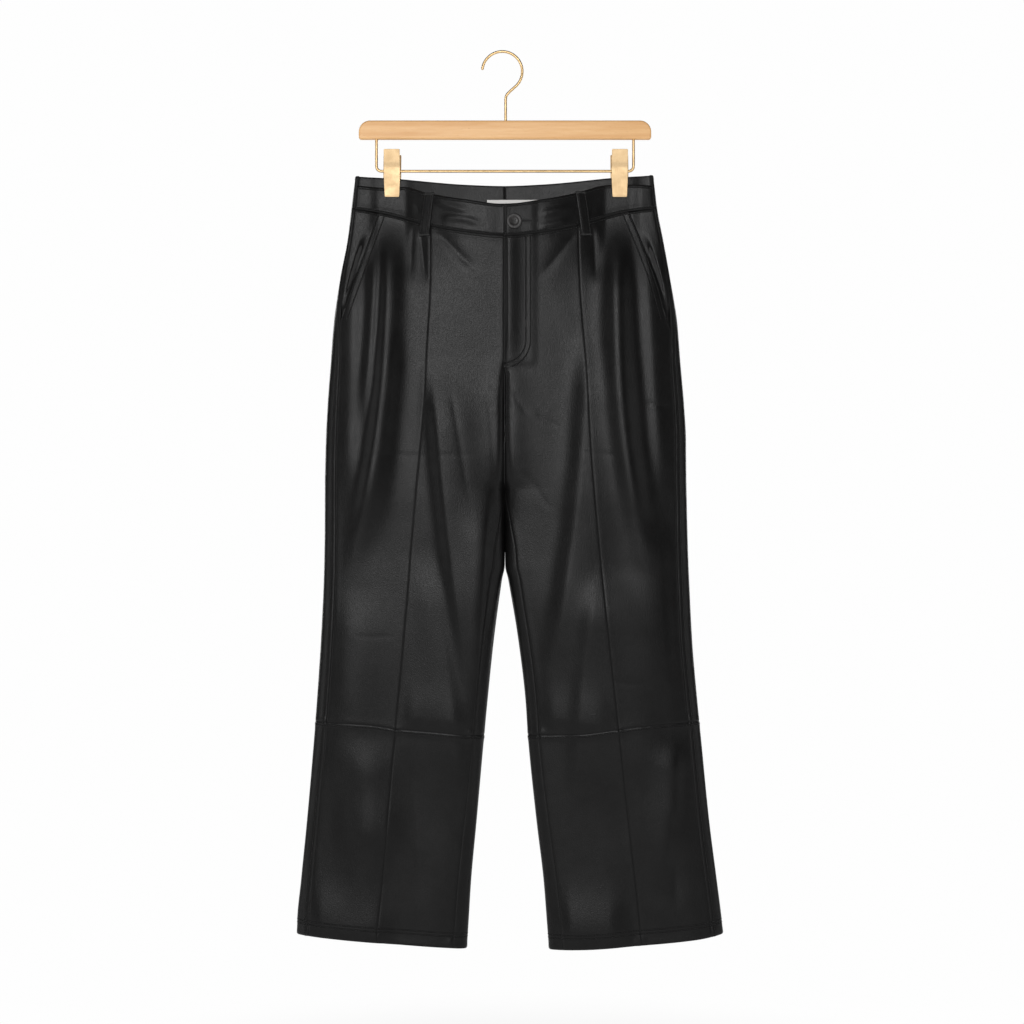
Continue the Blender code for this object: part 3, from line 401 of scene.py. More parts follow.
print("left leg at the knee:", outer_edge(LEFT, -860).round(1), inner_edge(LEFT, -860).round(1))

# %% Cloth surface


def profile(away, height):
    """A ridge is rounded; a trough is creased to a soft point, so that no light pools in it."""
    return bump(away) if height > 0 else np.exp(-TROUGH_FALL * np.sqrt(away * away + TROUGH_ROUND))


def crease_height(face, x, z):
    """Sum of the creases of one face at a point."""
    total = np.zeros(np.broadcast(x, z).shape)
    for row in CREASES:
        if row.face != face:
            continue
        if abs(row.low_z - row.top_z) > abs(row.low_x - row.top_x):
            start, middle, end = row.top_z, row.mid_z, row.low_z
            path_start, path_middle, path_end = row.top_x, row.mid_x, row.low_x
            ahead, beside = z, x
        else:
            start, middle, end = row.top_x, row.mid_x, row.low_x
            path_start, path_middle, path_end = row.top_z, row.mid_z, row.low_z
            ahead, beside = x, z
        run = np.clip((ahead - start) / (end - start), 0, 1)
        mid = (middle - start) / (end - start)
        bend = (path_middle - path_start - (path_end - path_start) * mid) / (mid * (mid - 1))
        path = path_start + (path_end - path_start) * run + bend * run * (run - 1)
        slant = ((path_end - path_start) + bend * (2 * run - 1)) / (end - start)
        away = (beside - path) / np.sqrt(1 + slant * slant)
        away = away / np.where(away < 0, row.left, row.right)
        taper = ease(run / CREASE_TOP_FADE) * ease((1 - run) / CREASE_LOW_FADE)
        total = total + row.height * taper * profile(away, row.height)
    return total


def unevenness(x, z):
    """Slow shallow waves that keep a highlight from running straight."""
    broad = np.sin(x / 23 + z / 61) * np.sin(z / 37 - x / 51)
    fine = np.sin(x / 11 + 1.0) * np.sin(z / 17 + x / 29)
    return BROAD_WAVE * broad + FINE_WAVE * fine


def section(side, z):
    """Centre and half width of a leg's section."""
    outer, inner = outer_edge(side, z), inner_edge(side, z)
    return (outer + inner) / 2, np.abs(outer - inner) / 2


def depth(face, x, z):
    """How far the cloth stands from the hanger's plane, before the section rounds it."""
    pinched = smooth(PINCH, np.abs(x), face)
    pressed = ease((z - PINCH_GONE) / (PINCH_FULL - PINCH_GONE))
    return smooth(LEVELS, z, face) * (1 - pressed) + pinched * pressed


def fly_rise(x, z):
    """The right front laps over the left one and stands proud of it along the fly."""
    across = ease((FLY_WIDTH + FLY_FADE - x) / FLY_FADE) * (x > FLY_REACH)
    down = ease((z - FLY_END + FLY_END_FADE / 4) / FLY_END_FADE)
    return FLY_RISE * across * down


def leg_x(side, turn, z, inset=0.0):
    """x of a point of a leg's tube. The turn is 0 at the outer edge, pi / 2 at the front."""
    centre, half = section(side, z)
    cos = np.cos(turn)
    return centre + side * (half - inset) * np.sign(cos) * np.abs(cos) ** (2 / ROUNDNESS)


def leg_point(side, turn, z, inset=0.0, sink=0.0):
    """A point of a leg's tube in millimetres; the inset shrinks it, the sink moves it straight in."""
    turn, z = np.broadcast_arrays(np.asarray(turn, float), np.asarray(z, float))
    x = leg_x(side, turn, z, inset)
    sin = np.sin(turn)
    across = np.abs(sin) ** (2 / ROUNDNESS)
    front, back = depth("front", x, z), depth("back", x, z)
    low, high = CREASE_ROOM
    proud = crease_height("front", x, z) + unevenness(x, z)
    proud = proud * ease((front * across - low) / (high - low))
    proud = proud + (fly_rise(x, z) if side == RIGHT else 0.0)
    swell = crease_height("back", x, z) + unevenness(x + BACK_WAVE_SHIFT, z)
    swell = swell * ease((back * across - low) / (high - low))
    y = np.where(sin > 0, -(front - inset) * across - proud + sink, (back - inset) * across + swell - sink)
    return np.stack([x, y, z], axis=-1)


def turn_at(side, x, z):
    """The turn at which the front of a leg's tube passes the given x."""
    centre, half = section(side, z)
    along = np.clip(side * (x - centre) / half, -1, 1)
    return np.arccos(np.sign(along) * np.abs(along) ** (ROUNDNESS / 2))


def outward(side, turn, z):
    """Unit normal of a leg's tube."""
    near, far = leg_point(side, turn - 0.01, z), leg_point(side, turn + 0.01, z)
    low, high = leg_point(side, turn, z - 0.5), leg_point(side, turn, z + 0.5)
    normal = np.cross(high - low, far - near) * side
    return normal / np.linalg.norm(normal, axis=-1, keepdims=True)


print("cloth at the left thigh:", leg_point(LEFT, math.pi / 2, -600.0).round(1))

# %% Where panels begin and end


def side_seam(side, z, gap):
    """x of the side seam; a gap above 0 keeps to the front panel's side of it."""
    return outer_edge(side, z) - side * (smooth(SEAM_OFFSETS, z, "outer") + gap)


def centre_seam(z):
    """x of the centre front: the fly's edge, and the middle of the crotch seam below it."""
    return FLY_EDGE * ease((z - FLY_END + FLY_FADE) / FLY_FADE)


def crotch_lap(z):
    """How far a panel runs past the middle just above the crotch, where the two roll in together."""
    return CROTCH_LAP * ease((CROTCH_LAP_START - z) / CROTCH_LAP_FADE)


def front_inner_limit(side, z, gap):
    """x where a front leg ends: at the centre front above the crotch, at the inseam below."""
    inseam = inner_edge(side, z) + side * (smooth(SEAM_OFFSETS, z, "inner") + gap)
    centre = centre_seam(z) + side * (gap - crotch_lap(z))
    return np.minimum(inseam, centre) if side == LEFT else np.maximum(inseam, centre)


def front_outer_limit(side, z, gap):
    """x where a front leg begins: along the pocket's edge, and at the side seam below it."""
    seam = side_seam(side, z, gap)
    edge = pocket_edge(side, z)
    return np.maximum(seam, edge) if side == LEFT else np.minimum(seam, edge)


def back_start(side, z):
    """Turn where a back leg begins: at the inseam, and above the crotch at the centre back."""
    inner = inner_edge(side, z)
    inseam = inner + side * (smooth(SEAM_OFFSETS, z, "inner") - SEAM)
    joined = side * inner < -1.0
    at_centre = 2 * math.pi - turn_at(side, side * (SEAM - crotch_lap(z)), z)
    return np.where(joined, at_centre, turn_at(side, inseam, z))


def back_end(side, z):
    return 2 * math.pi + turn_at(side, side_seam(side, z, -SEAM), z)


def back_waist_seam(x):
    return edge_height(BACK_TOP, x) - BACK_BAND_HEIGHT


def front_waist_seam(x):
    return edge_height(FRONT_WAIST_SEAM, x)


def knee(x):
    return edge_height(KNEE_SEAM, x)


def hem(x):
    return edge_height(HEM, x)


print("waist seam at the centre front:", front_waist_seam(0.0), "hem:", hem(-150.0).round(1))

# %% [markdown]
# ## Laying cloth
# A panel is a grid of points on the leg's surface. Its columns and rows lie close together beside the
# seams, where sewn cloth rolls in and is lifted by the allowance under it, and further apart between
# them. Both faces of the wall are made, so a panel is a closed shell with a rounded edge and not a
# sheet with no thickness. The distance to each edge is kept with each point: the material reads it, to
# press the stitch lines into the cloth and to paint shade along the seams.

# %% Grid of a panel
BESIDE_SEAM = (0.0, 0.5, 1.1, 1.9, 3.0, 4.6, 6.8)
GUIDE_COLUMNS = 90
SETTLING_ROUNDS = 6
ROW_FADE = 150.0
FAR = 60.0
Cloth = namedtuple("Cloth", "side x z outer inner normal start end top bottom")


def places(length, step):
    """Distances over a piece of cloth: close together beside both edges, a step apart between."""
    length = np.asarray(length, float)[..., None]
    near = np.array(BESIDE_SEAM) * np.minimum(1.0, length / (2.5 * BESIDE_SEAM[-1]))
    edge = near[..., -1:]
    count = max(2, int(round((length.max() - 2 * BESIDE_SEAM[-1]) / step)))
    middle = edge + (length - 2 * edge) * np.linspace(0, 1, count + 1)[1:-1]
    return np.concatenate([near, middle, length - near[..., ::-1]], axis=-1)


def lengths(points, axis):
    """Distance run along a grid of points, from its first row or column."""
    steps = np.linalg.norm(np.diff(points, axis=axis), axis=-1)
    run = np.cumsum(steps, axis=axis)
    first = np.zeros_like(np.take(run, [0], axis=axis))
    return np.concatenate([first, run], axis=axis)


def read_rows(wanted, run, values):
    """Values of a grid read at wanted distances along each of its rows."""
    return np.array([np.interp(wanted[r], run[r], values[r]) for r in range(len(run))])


def lay(side, start, end, height, levels, step, thickness, sink=None):
    """A panel between two turns; height gives z from x and a row's level."""
    levels = np.asarray(levels, float)[:, None]
    share = np.linspace(0, 1, GUIDE_COLUMNS)[None, :]
    z = levels + 0 * share
    # A point's turn and its height depend on each other, and settle in a few rounds.
    for _ in range(SETTLING_ROUNDS):
        turn = start(z) * (1 - share) + end(z) * share
        z = height(leg_x(side, turn, z), levels)
    run = lengths(leg_point(side, turn, z), 1)
    wanted = places(run[:, -1], step)
    turn, z = read_rows(wanted, run, turn), read_rows(wanted, run, z)
    x = leg_x(side, turn, z)
    shift = sink(x, z) if sink else 0.0
    outer = leg_point(side, turn, z, 0.0, shift)
    inner = leg_point(side, turn, z, thickness, shift)
    normal = np.cross(np.gradient(outer, axis=1), np.gradient(outer, axis=0)) * side
    normal /= np.linalg.norm(normal, axis=-1, keepdims=True)
    return measured(side, x, z, outer, inner, normal)


def measured(side, x, z, outer, inner, normal):
    """A grid of cloth with the distance of each point from its four edges."""
    across, down = lengths(outer, 1), lengths(outer, 0)
    return Cloth(side, x, z, outer, inner, normal,
                 across, across[:, -1:] - across, down, down[-1:] - down)


def drawn_to(top, bottom, first, last):
    """Heights of a panel: level in the middle, drawn to the seams at its top and bottom."""

    def height(x, level):
        near_top = ease(1 - (first - level) / ROW_FADE)
        near_bottom = ease(1 - (level - last) / ROW_FADE)
        shifted = level + (top(x) - SEAM - first) * near_top
        return shifted + (bottom(x) + SEAM - last) * near_bottom

    return height


def between(top, bottom, size):
    """Heights of a narrow piece: its levels, from 0 to its size, spread between two edges."""

    def height(x, level):
        return top(x) + (bottom(x) - top(x)) * level / size

    return height


print("places over 40 mm:", places(40.0, 5.0).round(1))

# %% [markdown]
# ## Edges and stitch rows
# A plain seam only rolls in. A topstitched one has its allowance folded under, which lifts the cloth
# beside it, and the thread draws it up into small puckers. Where two seams cross there is a lump of
# many layers. These are real changes of the surface. The stitch row itself is under a millimetre
# wide, so the mesh can't hold it: each point keeps its signed distance from up to six rows, which stay
# exact between points, and the material cuts the groove from that and paints shade into it.

# %% Relief of the edges
Edge = namedtuple("Edge", "roll ridge pucker")
PLAIN = Edge(0.36, 0.12, 0.05)
STITCHED = Edge(0.45, 0.40, 0.16)
FOLDED = Edge(0.80, 0.30, 0.08)
CUT = Edge(0.30, 0.0, 0.0)
EDGE_NAMES = ("start", "end", "top", "bottom")
ROLL_WIDTH, RIDGE_PLACE, PUCKER_WIDTH = 0.9, 3.5, 7.0

Lump = namedtuple("Lump", "x z width height")
LUMPS = []
for side in SIDES.values():
    knee_x = front_seam(side, -862.0)
    hem_x = front_seam(side, -1130.0)
    LUMPS += [
        Lump(float(knee_x), float(knee(knee_x)) - 3, 4.0, 0.9),
        Lump(float(hem_x), float(hem(hem_x)) + 9, 5.0, 0.9),
        Lump(float(side_seam(side, -852.0, -4.0)), -852.0, 5.0, 1.0),
        Lump(float(side_seam(side, -1122.0, -4.0)), -1122.0, 5.0, 0.9),
        Lump(float(front_inner_limit(side, -868.0, 4.0)), -868.0, 4.0, 0.9),
        Lump(float(front_inner_limit(side, -1138.0, 4.0)), -1136.0, 5.0, 0.9),
    ]


def puckers(run):
    """Uneven waves along a stitched edge."""
    return 0.6 * np.sin(run / 1.9 + 0.8 * np.sin(run / 31)) + 0.4 * np.sin(run / 3.3 + 1.3)


def relief(cloth, edges):
    """How far the cloth stands out of the smooth surface, from what happens at its edges."""
    total = np.zeros_like(cloth.x)
    for name, edge in zip(EDGE_NAMES, edges):
        gap = getattr(cloth, name)
        along = cloth.top if name in ("start", "end") else cloth.start
        total -= edge.roll * bump(gap / ROLL_WIDTH)
        total += edge.ridge * bump((gap - RIDGE_PLACE) / RIDGE_PLACE)
        total += edge.pucker * np.exp(-gap / PUCKER_WIDTH) * puckers(along)
    for lump in LUMPS:
        away = np.hypot(cloth.x - lump.x, cloth.z - lump.z) / lump.width
        total += lump.height * bump(away) * (cloth.normal[..., 1] < 0)
    return total


def shaped(cloth, edges, inner_roll=0.0):
    """The cloth with the relief of its edges, its inner face rolled in at the rim as well."""
    lift = relief(cloth, edges)[..., None] * cloth.normal
    rim = np.minimum.reduce([cloth.start, cloth.end, cloth.top, cloth.bottom])
    inner = cloth.inner + cloth.normal * (inner_roll * bump(rim / ROLL_WIDTH))[..., None]
    return cloth._replace(outer=cloth.outer + lift, inner=inner)


print("lumps where seams cross:", len(LUMPS))

# %% Stitch rows
Row = namedtuple("Row", "edge gap high low")
TOP, BOTTOM = 0.0, -2000.0
ROW_COUNT = 6
threads = {"front": [], "back": [], "waist": []}


def row_distance(cloth, row):
    """Signed distance of each point from a stitch row, and far off beyond the row's ends."""
    gap = getattr(cloth, row.edge) - row.gap
    return np.where((cloth.z < row.high) & (cloth.z > row.low), gap, FAR)


def row_path(cloth, row):
    """Points and normals along a stitch row, on the cloth's outer face."""
    gap = getattr(cloth, row.edge)
    outer, normal, z = cloth.outer, cloth.normal, cloth.z
    if row.edge in ("top", "bottom"):
        gap, z = gap.T, z.T
        outer, normal = outer.transpose(1, 0, 2), normal.transpose(1, 0, 2)
    if row.edge in ("end", "bottom"):
        gap, z, outer, normal = gap[:, ::-1], z[:, ::-1], outer[:, ::-1], normal[:, ::-1]
    points, normals = [], []
    for r in range(len(gap)):
        if not row.low <= np.interp(row.gap, gap[r], z[r]) <= row.high:
            continue
        points.append([np.interp(row.gap, gap[r], outer[r, :, k]) for k in range(3)])
        normals.append([np.interp(row.gap, gap[r], normal[r, :, k]) for k in range(3)])
    return np.array(points), np.array(normals)


def sew(cloth, rows, group):
    """Keeps the thread's path along each row for later, and returns the rows' distances."""
    for row in rows:
        points, normals = row_path(cloth, row)
        if len(points) > 1:
            threads[group].append((points, normals))
    return [row_distance(cloth, row) for row in rows]


print("stitch row fields on each point:", ROW_COUNT)

# %% [markdown]
# ## Materials
# Vinyl cloth is a thin plastic skin, embossed with leather grain, on a knitted backing. It is nearly
# black, so what the eye sees is light thrown back by the skin: a broad satin sheen, broken by the
# grain and by faint streaks down the cloth. Each material is made of nodes that read the piece's own
# coordinates, so it keeps its scale and stays put from every side.

# %% Node helpers


def start_material(name, colour, roughness, metallic=0.0):
    """A material with its shader's fixed values set on the shader itself."""
    material = bpy.data.materials.new(name)
    material.use_nodes = True
    shader = material.node_tree.nodes["Principled BSDF"]
    shader.inputs["Base Color"].default_value = (*colour, 1.0)
    shader.inputs["Roughness"].default_value = roughness
    shader.inputs["Metallic"].default_value = metallic
    material.diffuse_color = (*colour, 1.0)
    return material, shader


def add(material, kind, settings=None, **inputs):
    """A node with its settings and inputs; an input is a value or another node's output."""
    node = material.node_tree.nodes.new(kind)
    for name, value in (settings or {}).items():
        setattr(node, name, value)
    for name, value in inputs.items():
        key = int(name[1:]) if name[0] == "i" and name[1:].isdigit() else name.replace("_", " ")
        socket = node.inputs[key]
        if isinstance(value, bpy.types.NodeSocket):
            material.node_tree.links.new(value, socket)
        else:
            socket.default_value = value
    return node


def maths(material, operation, *values):
    inputs = {f"i{k}": value for k, value in enumerate(values)}
    return add(material, "ShaderNodeMath", {"operation": operation}, **inputs).outputs[0]


def own_coordinates(material, scale=(1.0, 1.0, 1.0)):
    """The piece's own coordinates in metres, stretched where a grain is longer one way."""
    place = add(material, "ShaderNodeTexCoord").outputs["Object"]
    return add(material, "ShaderNodeMapping", Vector=place, Scale=scale).outputs["Vector"]


def noise(material, place, scale, detail=3.0, roughness=0.55):
    return add(material, "ShaderNodeTexNoise", Vector=place, Scale=scale, Detail=detail,
               Roughness=roughness).outputs["Fac"]


def ranged(material, value, low, high, to_low, to_high, smooth_step=False):
    """A value spread from one range to another."""
    kind = "SMOOTHSTEP" if smooth_step else "LINEAR"
    return add(material, "ShaderNodeMapRange", {"interpolation_type": kind}, Value=value,
               From_Min=low, From_Max=high, To_Min=to_low, To_Max=to_high).outputs["Result"]


def mixed(material, share, first, second):
    """Two colours mixed."""
    node = add(material, "ShaderNodeMix", {"data_type": "RGBA"}, Factor=share)
    for key, value in ((6, first), (7, second)):
        if isinstance(value, bpy.types.NodeSocket):
            material.node_tree.links.new(value, node.inputs[key])
        else:
            node.inputs[key].default_value = (*value, 1.0)
    return node.outputs[2]


def attribute(material, name, output):
    return add(material, "ShaderNodeAttribute", {"attribute_name": name}).outputs[output]


def bumped(material, height, distance, normal=None, strength=1.0):
    node = add(material, "ShaderNodeBump", Height=height, Distance=distance, Strength=strength)
    if normal is not None:
        material.node_tree.links.new(normal, node.inputs["Normal"])
    return node.outputs["Normal"]


def attach(material, shader, **sockets):
    for name, value in sockets.items():
        material.node_tree.links.new(value, shader.inputs[name.replace("_", " ")])


print("node helpers ready")

# %% Vinyl and its backing
VINYL_DARK = (0.0028, 0.0027, 0.0027)
VINYL_LIGHT = (0.0048, 0.0047, 0.0047)
BLOTCH_SCALE, STREAK_SCALE, PEBBLE_SCALE = 38.0, 900.0, 1000.0
SATIN_FROM, SATIN_TO, GROOVE_ROUGHNESS = 0.30, 0.42, 0.25
GROOVE_AND_SHADE_REACH = 0.85
GRAIN_DEPTH = 0.00015
GROOVE_DEPTH = 0.0008


def make_vinyl():
    material, shader = start_material("black_vinyl", VINYL_LIGHT, 0.4)
    shader.inputs["Specular IOR Level"].default_value = 0.16
    place = own_coordinates(material)
    down = own_coordinates(material, (1.0, 1.0, 0.14))
    blotches = noise(material, place, BLOTCH_SCALE, 4.0, 0.6)
    streaks = noise(material, down, STREAK_SCALE, 3.0, 0.6)
    pebbles = add(material, "ShaderNodeTexVoronoi", {"feature": "SMOOTH_F1"}, Vector=place,
                  Scale=PEBBLE_SCALE, Smoothness=0.6).outputs["Distance"]
    nearest = None
    for name in ("stitch_rows_a", "stitch_rows_b"):
        size = add(material, "ShaderNodeVectorMath", {"operation": "ABSOLUTE"},
                   i0=attribute(material, name, "Vector")).outputs[0]
        parts = add(material, "ShaderNodeSeparateXYZ", Vector=size).outputs
        for part in parts:
            nearest = part if nearest is None else maths(material, "MINIMUM", nearest, part)
    # A bump dents the stitch rows' grooves, and shade is painted into them. Within a millimetre of a panel's
    # edge, shade is painted along the seam.
    groove_dent_and_shade = ranged(material, nearest, 0.1, GROOVE_AND_SHADE_REACH, 1.0, 0.0, True)
    seam = ranged(material, attribute(material, "seam_gap", "Fac"), 0.0, 1.0, 1.0, 0.0, True)
    dark = maths(material, "MAXIMUM", groove_dent_and_shade, seam)
    colour = mixed(material, ranged(material, blotches, 0.3, 0.7, 0.0, 1.0), VINYL_DARK, VINYL_LIGHT)
    # Painted shade: the colour falls to near black in the stitch grooves and along the seams.
    colour = mixed(material, maths(material, "MULTIPLY", dark, 0.95), colour, (0.001, 0.001, 0.001))
    rough = ranged(material, streaks, 0.25, 0.75, SATIN_FROM, SATIN_TO)
    rough = maths(material, "ADD", rough, maths(material, "MULTIPLY", dark, GROOVE_ROUGHNESS))
    grain = maths(material, "ADD", maths(material, "MULTIPLY", streaks, 0.9), pebbles)
    normal = bumped(material, grain, GRAIN_DEPTH)
    normal = bumped(material, maths(material, "SUBTRACT", 1.0, groove_dent_and_shade), GROOVE_DEPTH, normal)
    attach(material, shader, Base_Color=colour, Roughness=rough, Normal=normal)
    return material


def make_backing():
    material, shader = start_material("knit_backing", (0.022, 0.021, 0.021), 0.9)
    shader.inputs["Sheen Weight"].default_value = 0.15
    place = own_coordinates(material)
    knit = add(material, "ShaderNodeTexWave", {"wave_type": "BANDS"}, Vector=place, Scale=420.0,
               Distortion=3.0, Detail=1.0).outputs["Fac"]
    tone = mixed(material, knit, (0.014, 0.0135, 0.0135), (0.030, 0.029, 0.029))
    attach(material, shader, Base_Color=tone, Normal=bumped(material, knit, 0.0001))
    return material


vinyl, backing = make_vinyl(), make_backing()
print("cloth materials:", vinyl.name, backing.name)

# %% Writing a piece of cloth


def shell_faces(rows, columns):
    """Faces of a closed wall between two grids: outer face, inner face, rim."""
    index = np.arange(rows * columns).reshape(rows, columns)
    quads = np.stack([index[:-1, :-1], index[1:, :-1], index[1:, 1:], index[:-1, 1:]], -1).reshape(-1, 4)
    ring = np.concatenate([index[0], index[1:, -1], index[-1, -2::-1], index[-2:0:-1, 0]])
    after = np.roll(ring, -1)
    shift = rows * columns
    rim = np.stack([ring, after, after + shift, ring + shift], -1)
    return quads, quads[:, ::-1] + shift, rim


def write_mesh(name, points, faces, materials, sharp=50.0):
    """A mesh object from points in millimetres, its faces turned outwards."""
    mesh = bpy.data.meshes.new(name)
    mesh.from_pydata((np.asarray(points) * METRES).tolist(), [], [list(face) for face in faces])
    form = bmesh.new()
    form.from_mesh(mesh)
    bmesh.ops.recalc_face_normals(form, faces=form.faces)
    form.to_mesh(mesh)
    form.free()
    mesh.shade_smooth()
    mesh.set_sharp_from_angle(angle=math.radians(sharp))
    for material in materials:
        mesh.materials.append(material)
    piece = bpy.data.objects.new(name, mesh)
    bpy.context.scene.collection.objects.link(piece)
    return piece


def set_field(mesh, name, kind, values):
    field = mesh.attributes.new(name, kind, "POINT")
    key = "vector" if kind == "FLOAT_VECTOR" else "value"
    field.data.foreach_set(key, np.asarray(values, np.float32).ravel())


def write_cloth(name, cloth, rows=(), inside=None):
    """A piece of cloth with the fields that its material reads."""
    grid_rows, columns = cloth.x.shape
    outer, inner, rim = shell_faces(grid_rows, columns)
    points = np.concatenate([cloth.outer.reshape(-1, 3), cloth.inner.reshape(-1, 3)])
    faces = np.concatenate([outer, inner, rim])
    piece = write_mesh(name, points, faces, [vinyl, inside or backing])
    mesh = piece.data
    mesh.polygons.foreach_set("material_index", np.repeat([0, 1, 0], [len(outer), len(inner), len(rim)]))
    fields = [np.clip(row, -FAR, FAR) for row in rows]
    fields += [np.full(cloth.x.shape, FAR)] * (ROW_COUNT - len(fields))
    # Distance to the nearest edge, from which the vinyl material paints shade along the seams.
    nearest = np.minimum.reduce([cloth.start, cloth.end, cloth.top, cloth.bottom])
    both = [np.concatenate([field.ravel(), field.ravel()]) for field in fields]
    set_field(mesh, "stitch_rows_a", "FLOAT_VECTOR", np.stack(both[:3], -1))
    set_field(mesh, "stitch_rows_b", "FLOAT_VECTOR", np.stack(both[3:], -1))
    set_field(mesh, "seam_gap", "FLOAT", np.concatenate([nearest.ravel(), nearest.ravel()]))
    return piece


def stand_in(piece, *nodes, slot="vinyl"):
    """The piece takes the place of its solids, which are hidden, and hangs from the root body."""
    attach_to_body(piece, "root")
    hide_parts(*nodes)
    return piece


print("cloth writer ready")

# %% [markdown]
# ## Front legs
# Each front leg is four panels: a seam runs down its middle from the waistband to the hem, and
# another crosses it at the knee. The outer upper panel is cut away along the pocket. Panels of one
# leg differ only in where they begin and end, so one function lays them all.

# %% Front legs
FINE, COARSE = 2.9, 4.2
HEM_ROWS = (19.4, 15.2)
KNEE_ROW = 3.2
WAIST_ROW = 3.0
WAIST_LEVEL, KNEE_LEVEL, HEM_LEVEL = -236.0, -872.0, -1146.0
POCKET_ROWS = (1.9, 8.8)
POCKET_HIGH, POCKET_LOW = -205.0, -344.0
J_ROWS = ((26.8, -398.0), (32.6, -404.5))
J_TOP, J_BEND = -236.0, -368.0
FLY_ROWS = (
    Row("end", 1.8, J_TOP, FLY_END + 8),
    Row("end", 2.6, FLY_END + 2, -500.0),
    Row("end", 5.8, FLY_END - 4, -500.0),
)


def at_x(side, x_of, gap=0.0):
    return lambda z: turn_at(side, x_of(side, z) + gap, z)


def limit(side, x_of, gap):
    return lambda z: turn_at(side, x_of(side, z, gap), z)


def levels_between(first, last, step):
    return first - places(first - last, step)


def fly_curve(x, z, reach, low):
    """Signed distance from a row that runs down the fly and bends in to its lower end."""
    down = np.minimum(z - J_BEND, 0.0) / (J_BEND - low)
    across = (x - FLY_EDGE) / (reach - FLY_EDGE)
    ring = (np.sqrt(across ** 2 + down ** 2) - 1) * (reach - FLY_EDGE)
    return np.where((z < J_TOP) & (x > FLY_EDGE - 1), ring, FAR)


def fly_thread(reach, low):
    """Path of the thread along the same row."""
    straight = [(reach, z) for z in np.linspace(J_TOP - 3, J_BEND, 40)]
    bend = [(FLY_EDGE + (reach - FLY_EDGE) * math.cos(a), J_BEND + (low - J_BEND) * math.sin(a))
            for a in np.linspace(0, math.pi / 2 - 0.12, 24)[1:]]
    x, z = np.array(straight + bend).T
    turn = turn_at(RIGHT, x, z)
    return leg_point(RIGHT, turn, z), outward(RIGHT, turn, z)


panels = {}


def front_leg(name, side):
    upper = drawn_to(front_waist_seam, knee, WAIST_LEVEL, KNEE_LEVEL)
    lower = drawn_to(knee, hem, KNEE_LEVEL, HEM_LEVEL)
    upper_levels = levels_between(WAIST_LEVEL, KNEE_LEVEL, FINE)
    lower_levels = levels_between(KNEE_LEVEL, HEM_LEVEL, FINE)
    at_pocket = limit(side, front_outer_limit, SEAM)
    at_side = limit(side, side_seam, SEAM)
    before_seam = at_x(side, front_seam, side * SEAM)
    after_seam = at_x(side, front_seam, -side * SEAM)
    at_centre = limit(side, front_inner_limit, SEAM)
    pocket_rows = [Row("start", gap, POCKET_HIGH, POCKET_LOW) for gap in POCKET_ROWS]
    waist_row = Row("top", WAIST_ROW, TOP, BOTTOM)
    hem_rows = [Row("bottom", gap, TOP, BOTTOM) for gap in HEM_ROWS]
    knee_row = Row("top", KNEE_ROW, TOP, BOTTOM)
    cloth = lay(side, at_pocket, before_seam, upper, upper_levels, FINE, WALL)
    cloth = shaped(cloth, (FOLDED, PLAIN, STITCHED, PLAIN))
    piece = write_cloth(f"front_outer_thigh_{name}", cloth, sew(cloth, [waist_row, *pocket_rows], "front"))
    panels[piece.name] = stand_in(piece, f"front_outer_upper_{name}"), cloth
    cloth = lay(side, after_seam, at_centre, upper, upper_levels, FINE, WALL)
    cloth = shaped(cloth, (PLAIN, FOLDED if side == RIGHT else PLAIN, STITCHED, PLAIN))
    rows = [waist_row, *FLY_ROWS] if side == RIGHT else [waist_row]
    fields = sew(cloth, rows, "front")
    if side == RIGHT:
        fields += [fly_curve(cloth.x, cloth.z, *row) for row in J_ROWS]
        threads["front"].extend(fly_thread(*row) for row in J_ROWS)
    piece = write_cloth(f"front_inner_thigh_{name}", cloth, fields)
    panels[piece.name] = stand_in(piece, f"front_inner_upper_{name}"), cloth
    for part, start, end in (("outer", at_side, before_seam), ("inner", after_seam, at_centre)):
        cloth = lay(side, start, end, lower, lower_levels, FINE, WALL)
        cloth = shaped(cloth, (PLAIN, PLAIN, STITCHED, FOLDED), 0.4)
        piece = write_cloth(f"front_{part}_shin_{name}", cloth, sew(cloth, [knee_row, *hem_rows], "front"))
        panels[piece.name] = stand_in(piece, f"front_{part}_lower_{name}"), cloth


for name, side in SIDES.items():
    front_leg(name, side)
print("front panels:", len(panels))

# %% [markdown]
# ## Back legs
# The back legs are wider than the fronts: they wrap round the folded edge and meet the fronts in the
# side seam and the inseam, which both lie on the front. The side seam is topstitched on this side.
# No seam runs down their middle. The backs hang against nothing, so they fold as softly as the fronts.

# %% Back legs
SIDE_ROW = 4.8
THIGH_EDGES = (PLAIN, STITCHED, STITCHED, PLAIN)
SHIN_EDGES = (PLAIN, STITCHED, STITCHED, FOLDED)


def back_leg(name, side):
    def start(z):
        return back_start(side, z)

    def end(z):
        return back_end(side, z)

    side_row = Row("end", SIDE_ROW, TOP, BOTTOM)
    for part, node, top, bottom, first, last, edges in (
        ("thigh", "upper", back_waist_seam, knee, WAIST_LEVEL, KNEE_LEVEL, THIGH_EDGES),
        ("shin", "lower", knee, hem, KNEE_LEVEL, HEM_LEVEL, SHIN_EDGES),
    ):
        rows = [side_row, Row("top", WAIST_ROW if node == "upper" else KNEE_ROW, TOP, BOTTOM)]
        if node == "lower":
            rows += [Row("bottom", gap, TOP, BOTTOM) for gap in HEM_ROWS]
        cloth = lay(side, start, end, drawn_to(top, bottom, first, last),
                    levels_between(first, last, COARSE), COARSE, WALL)
        cloth = shaped(cloth, edges, 0.4 if node == "lower" else 0.0)
        piece = write_cloth(f"back_{part}_{name}", cloth, sew(cloth, rows, "back"))
        panels[piece.name] = stand_in(piece, f"back_{node}_{name}"), cloth


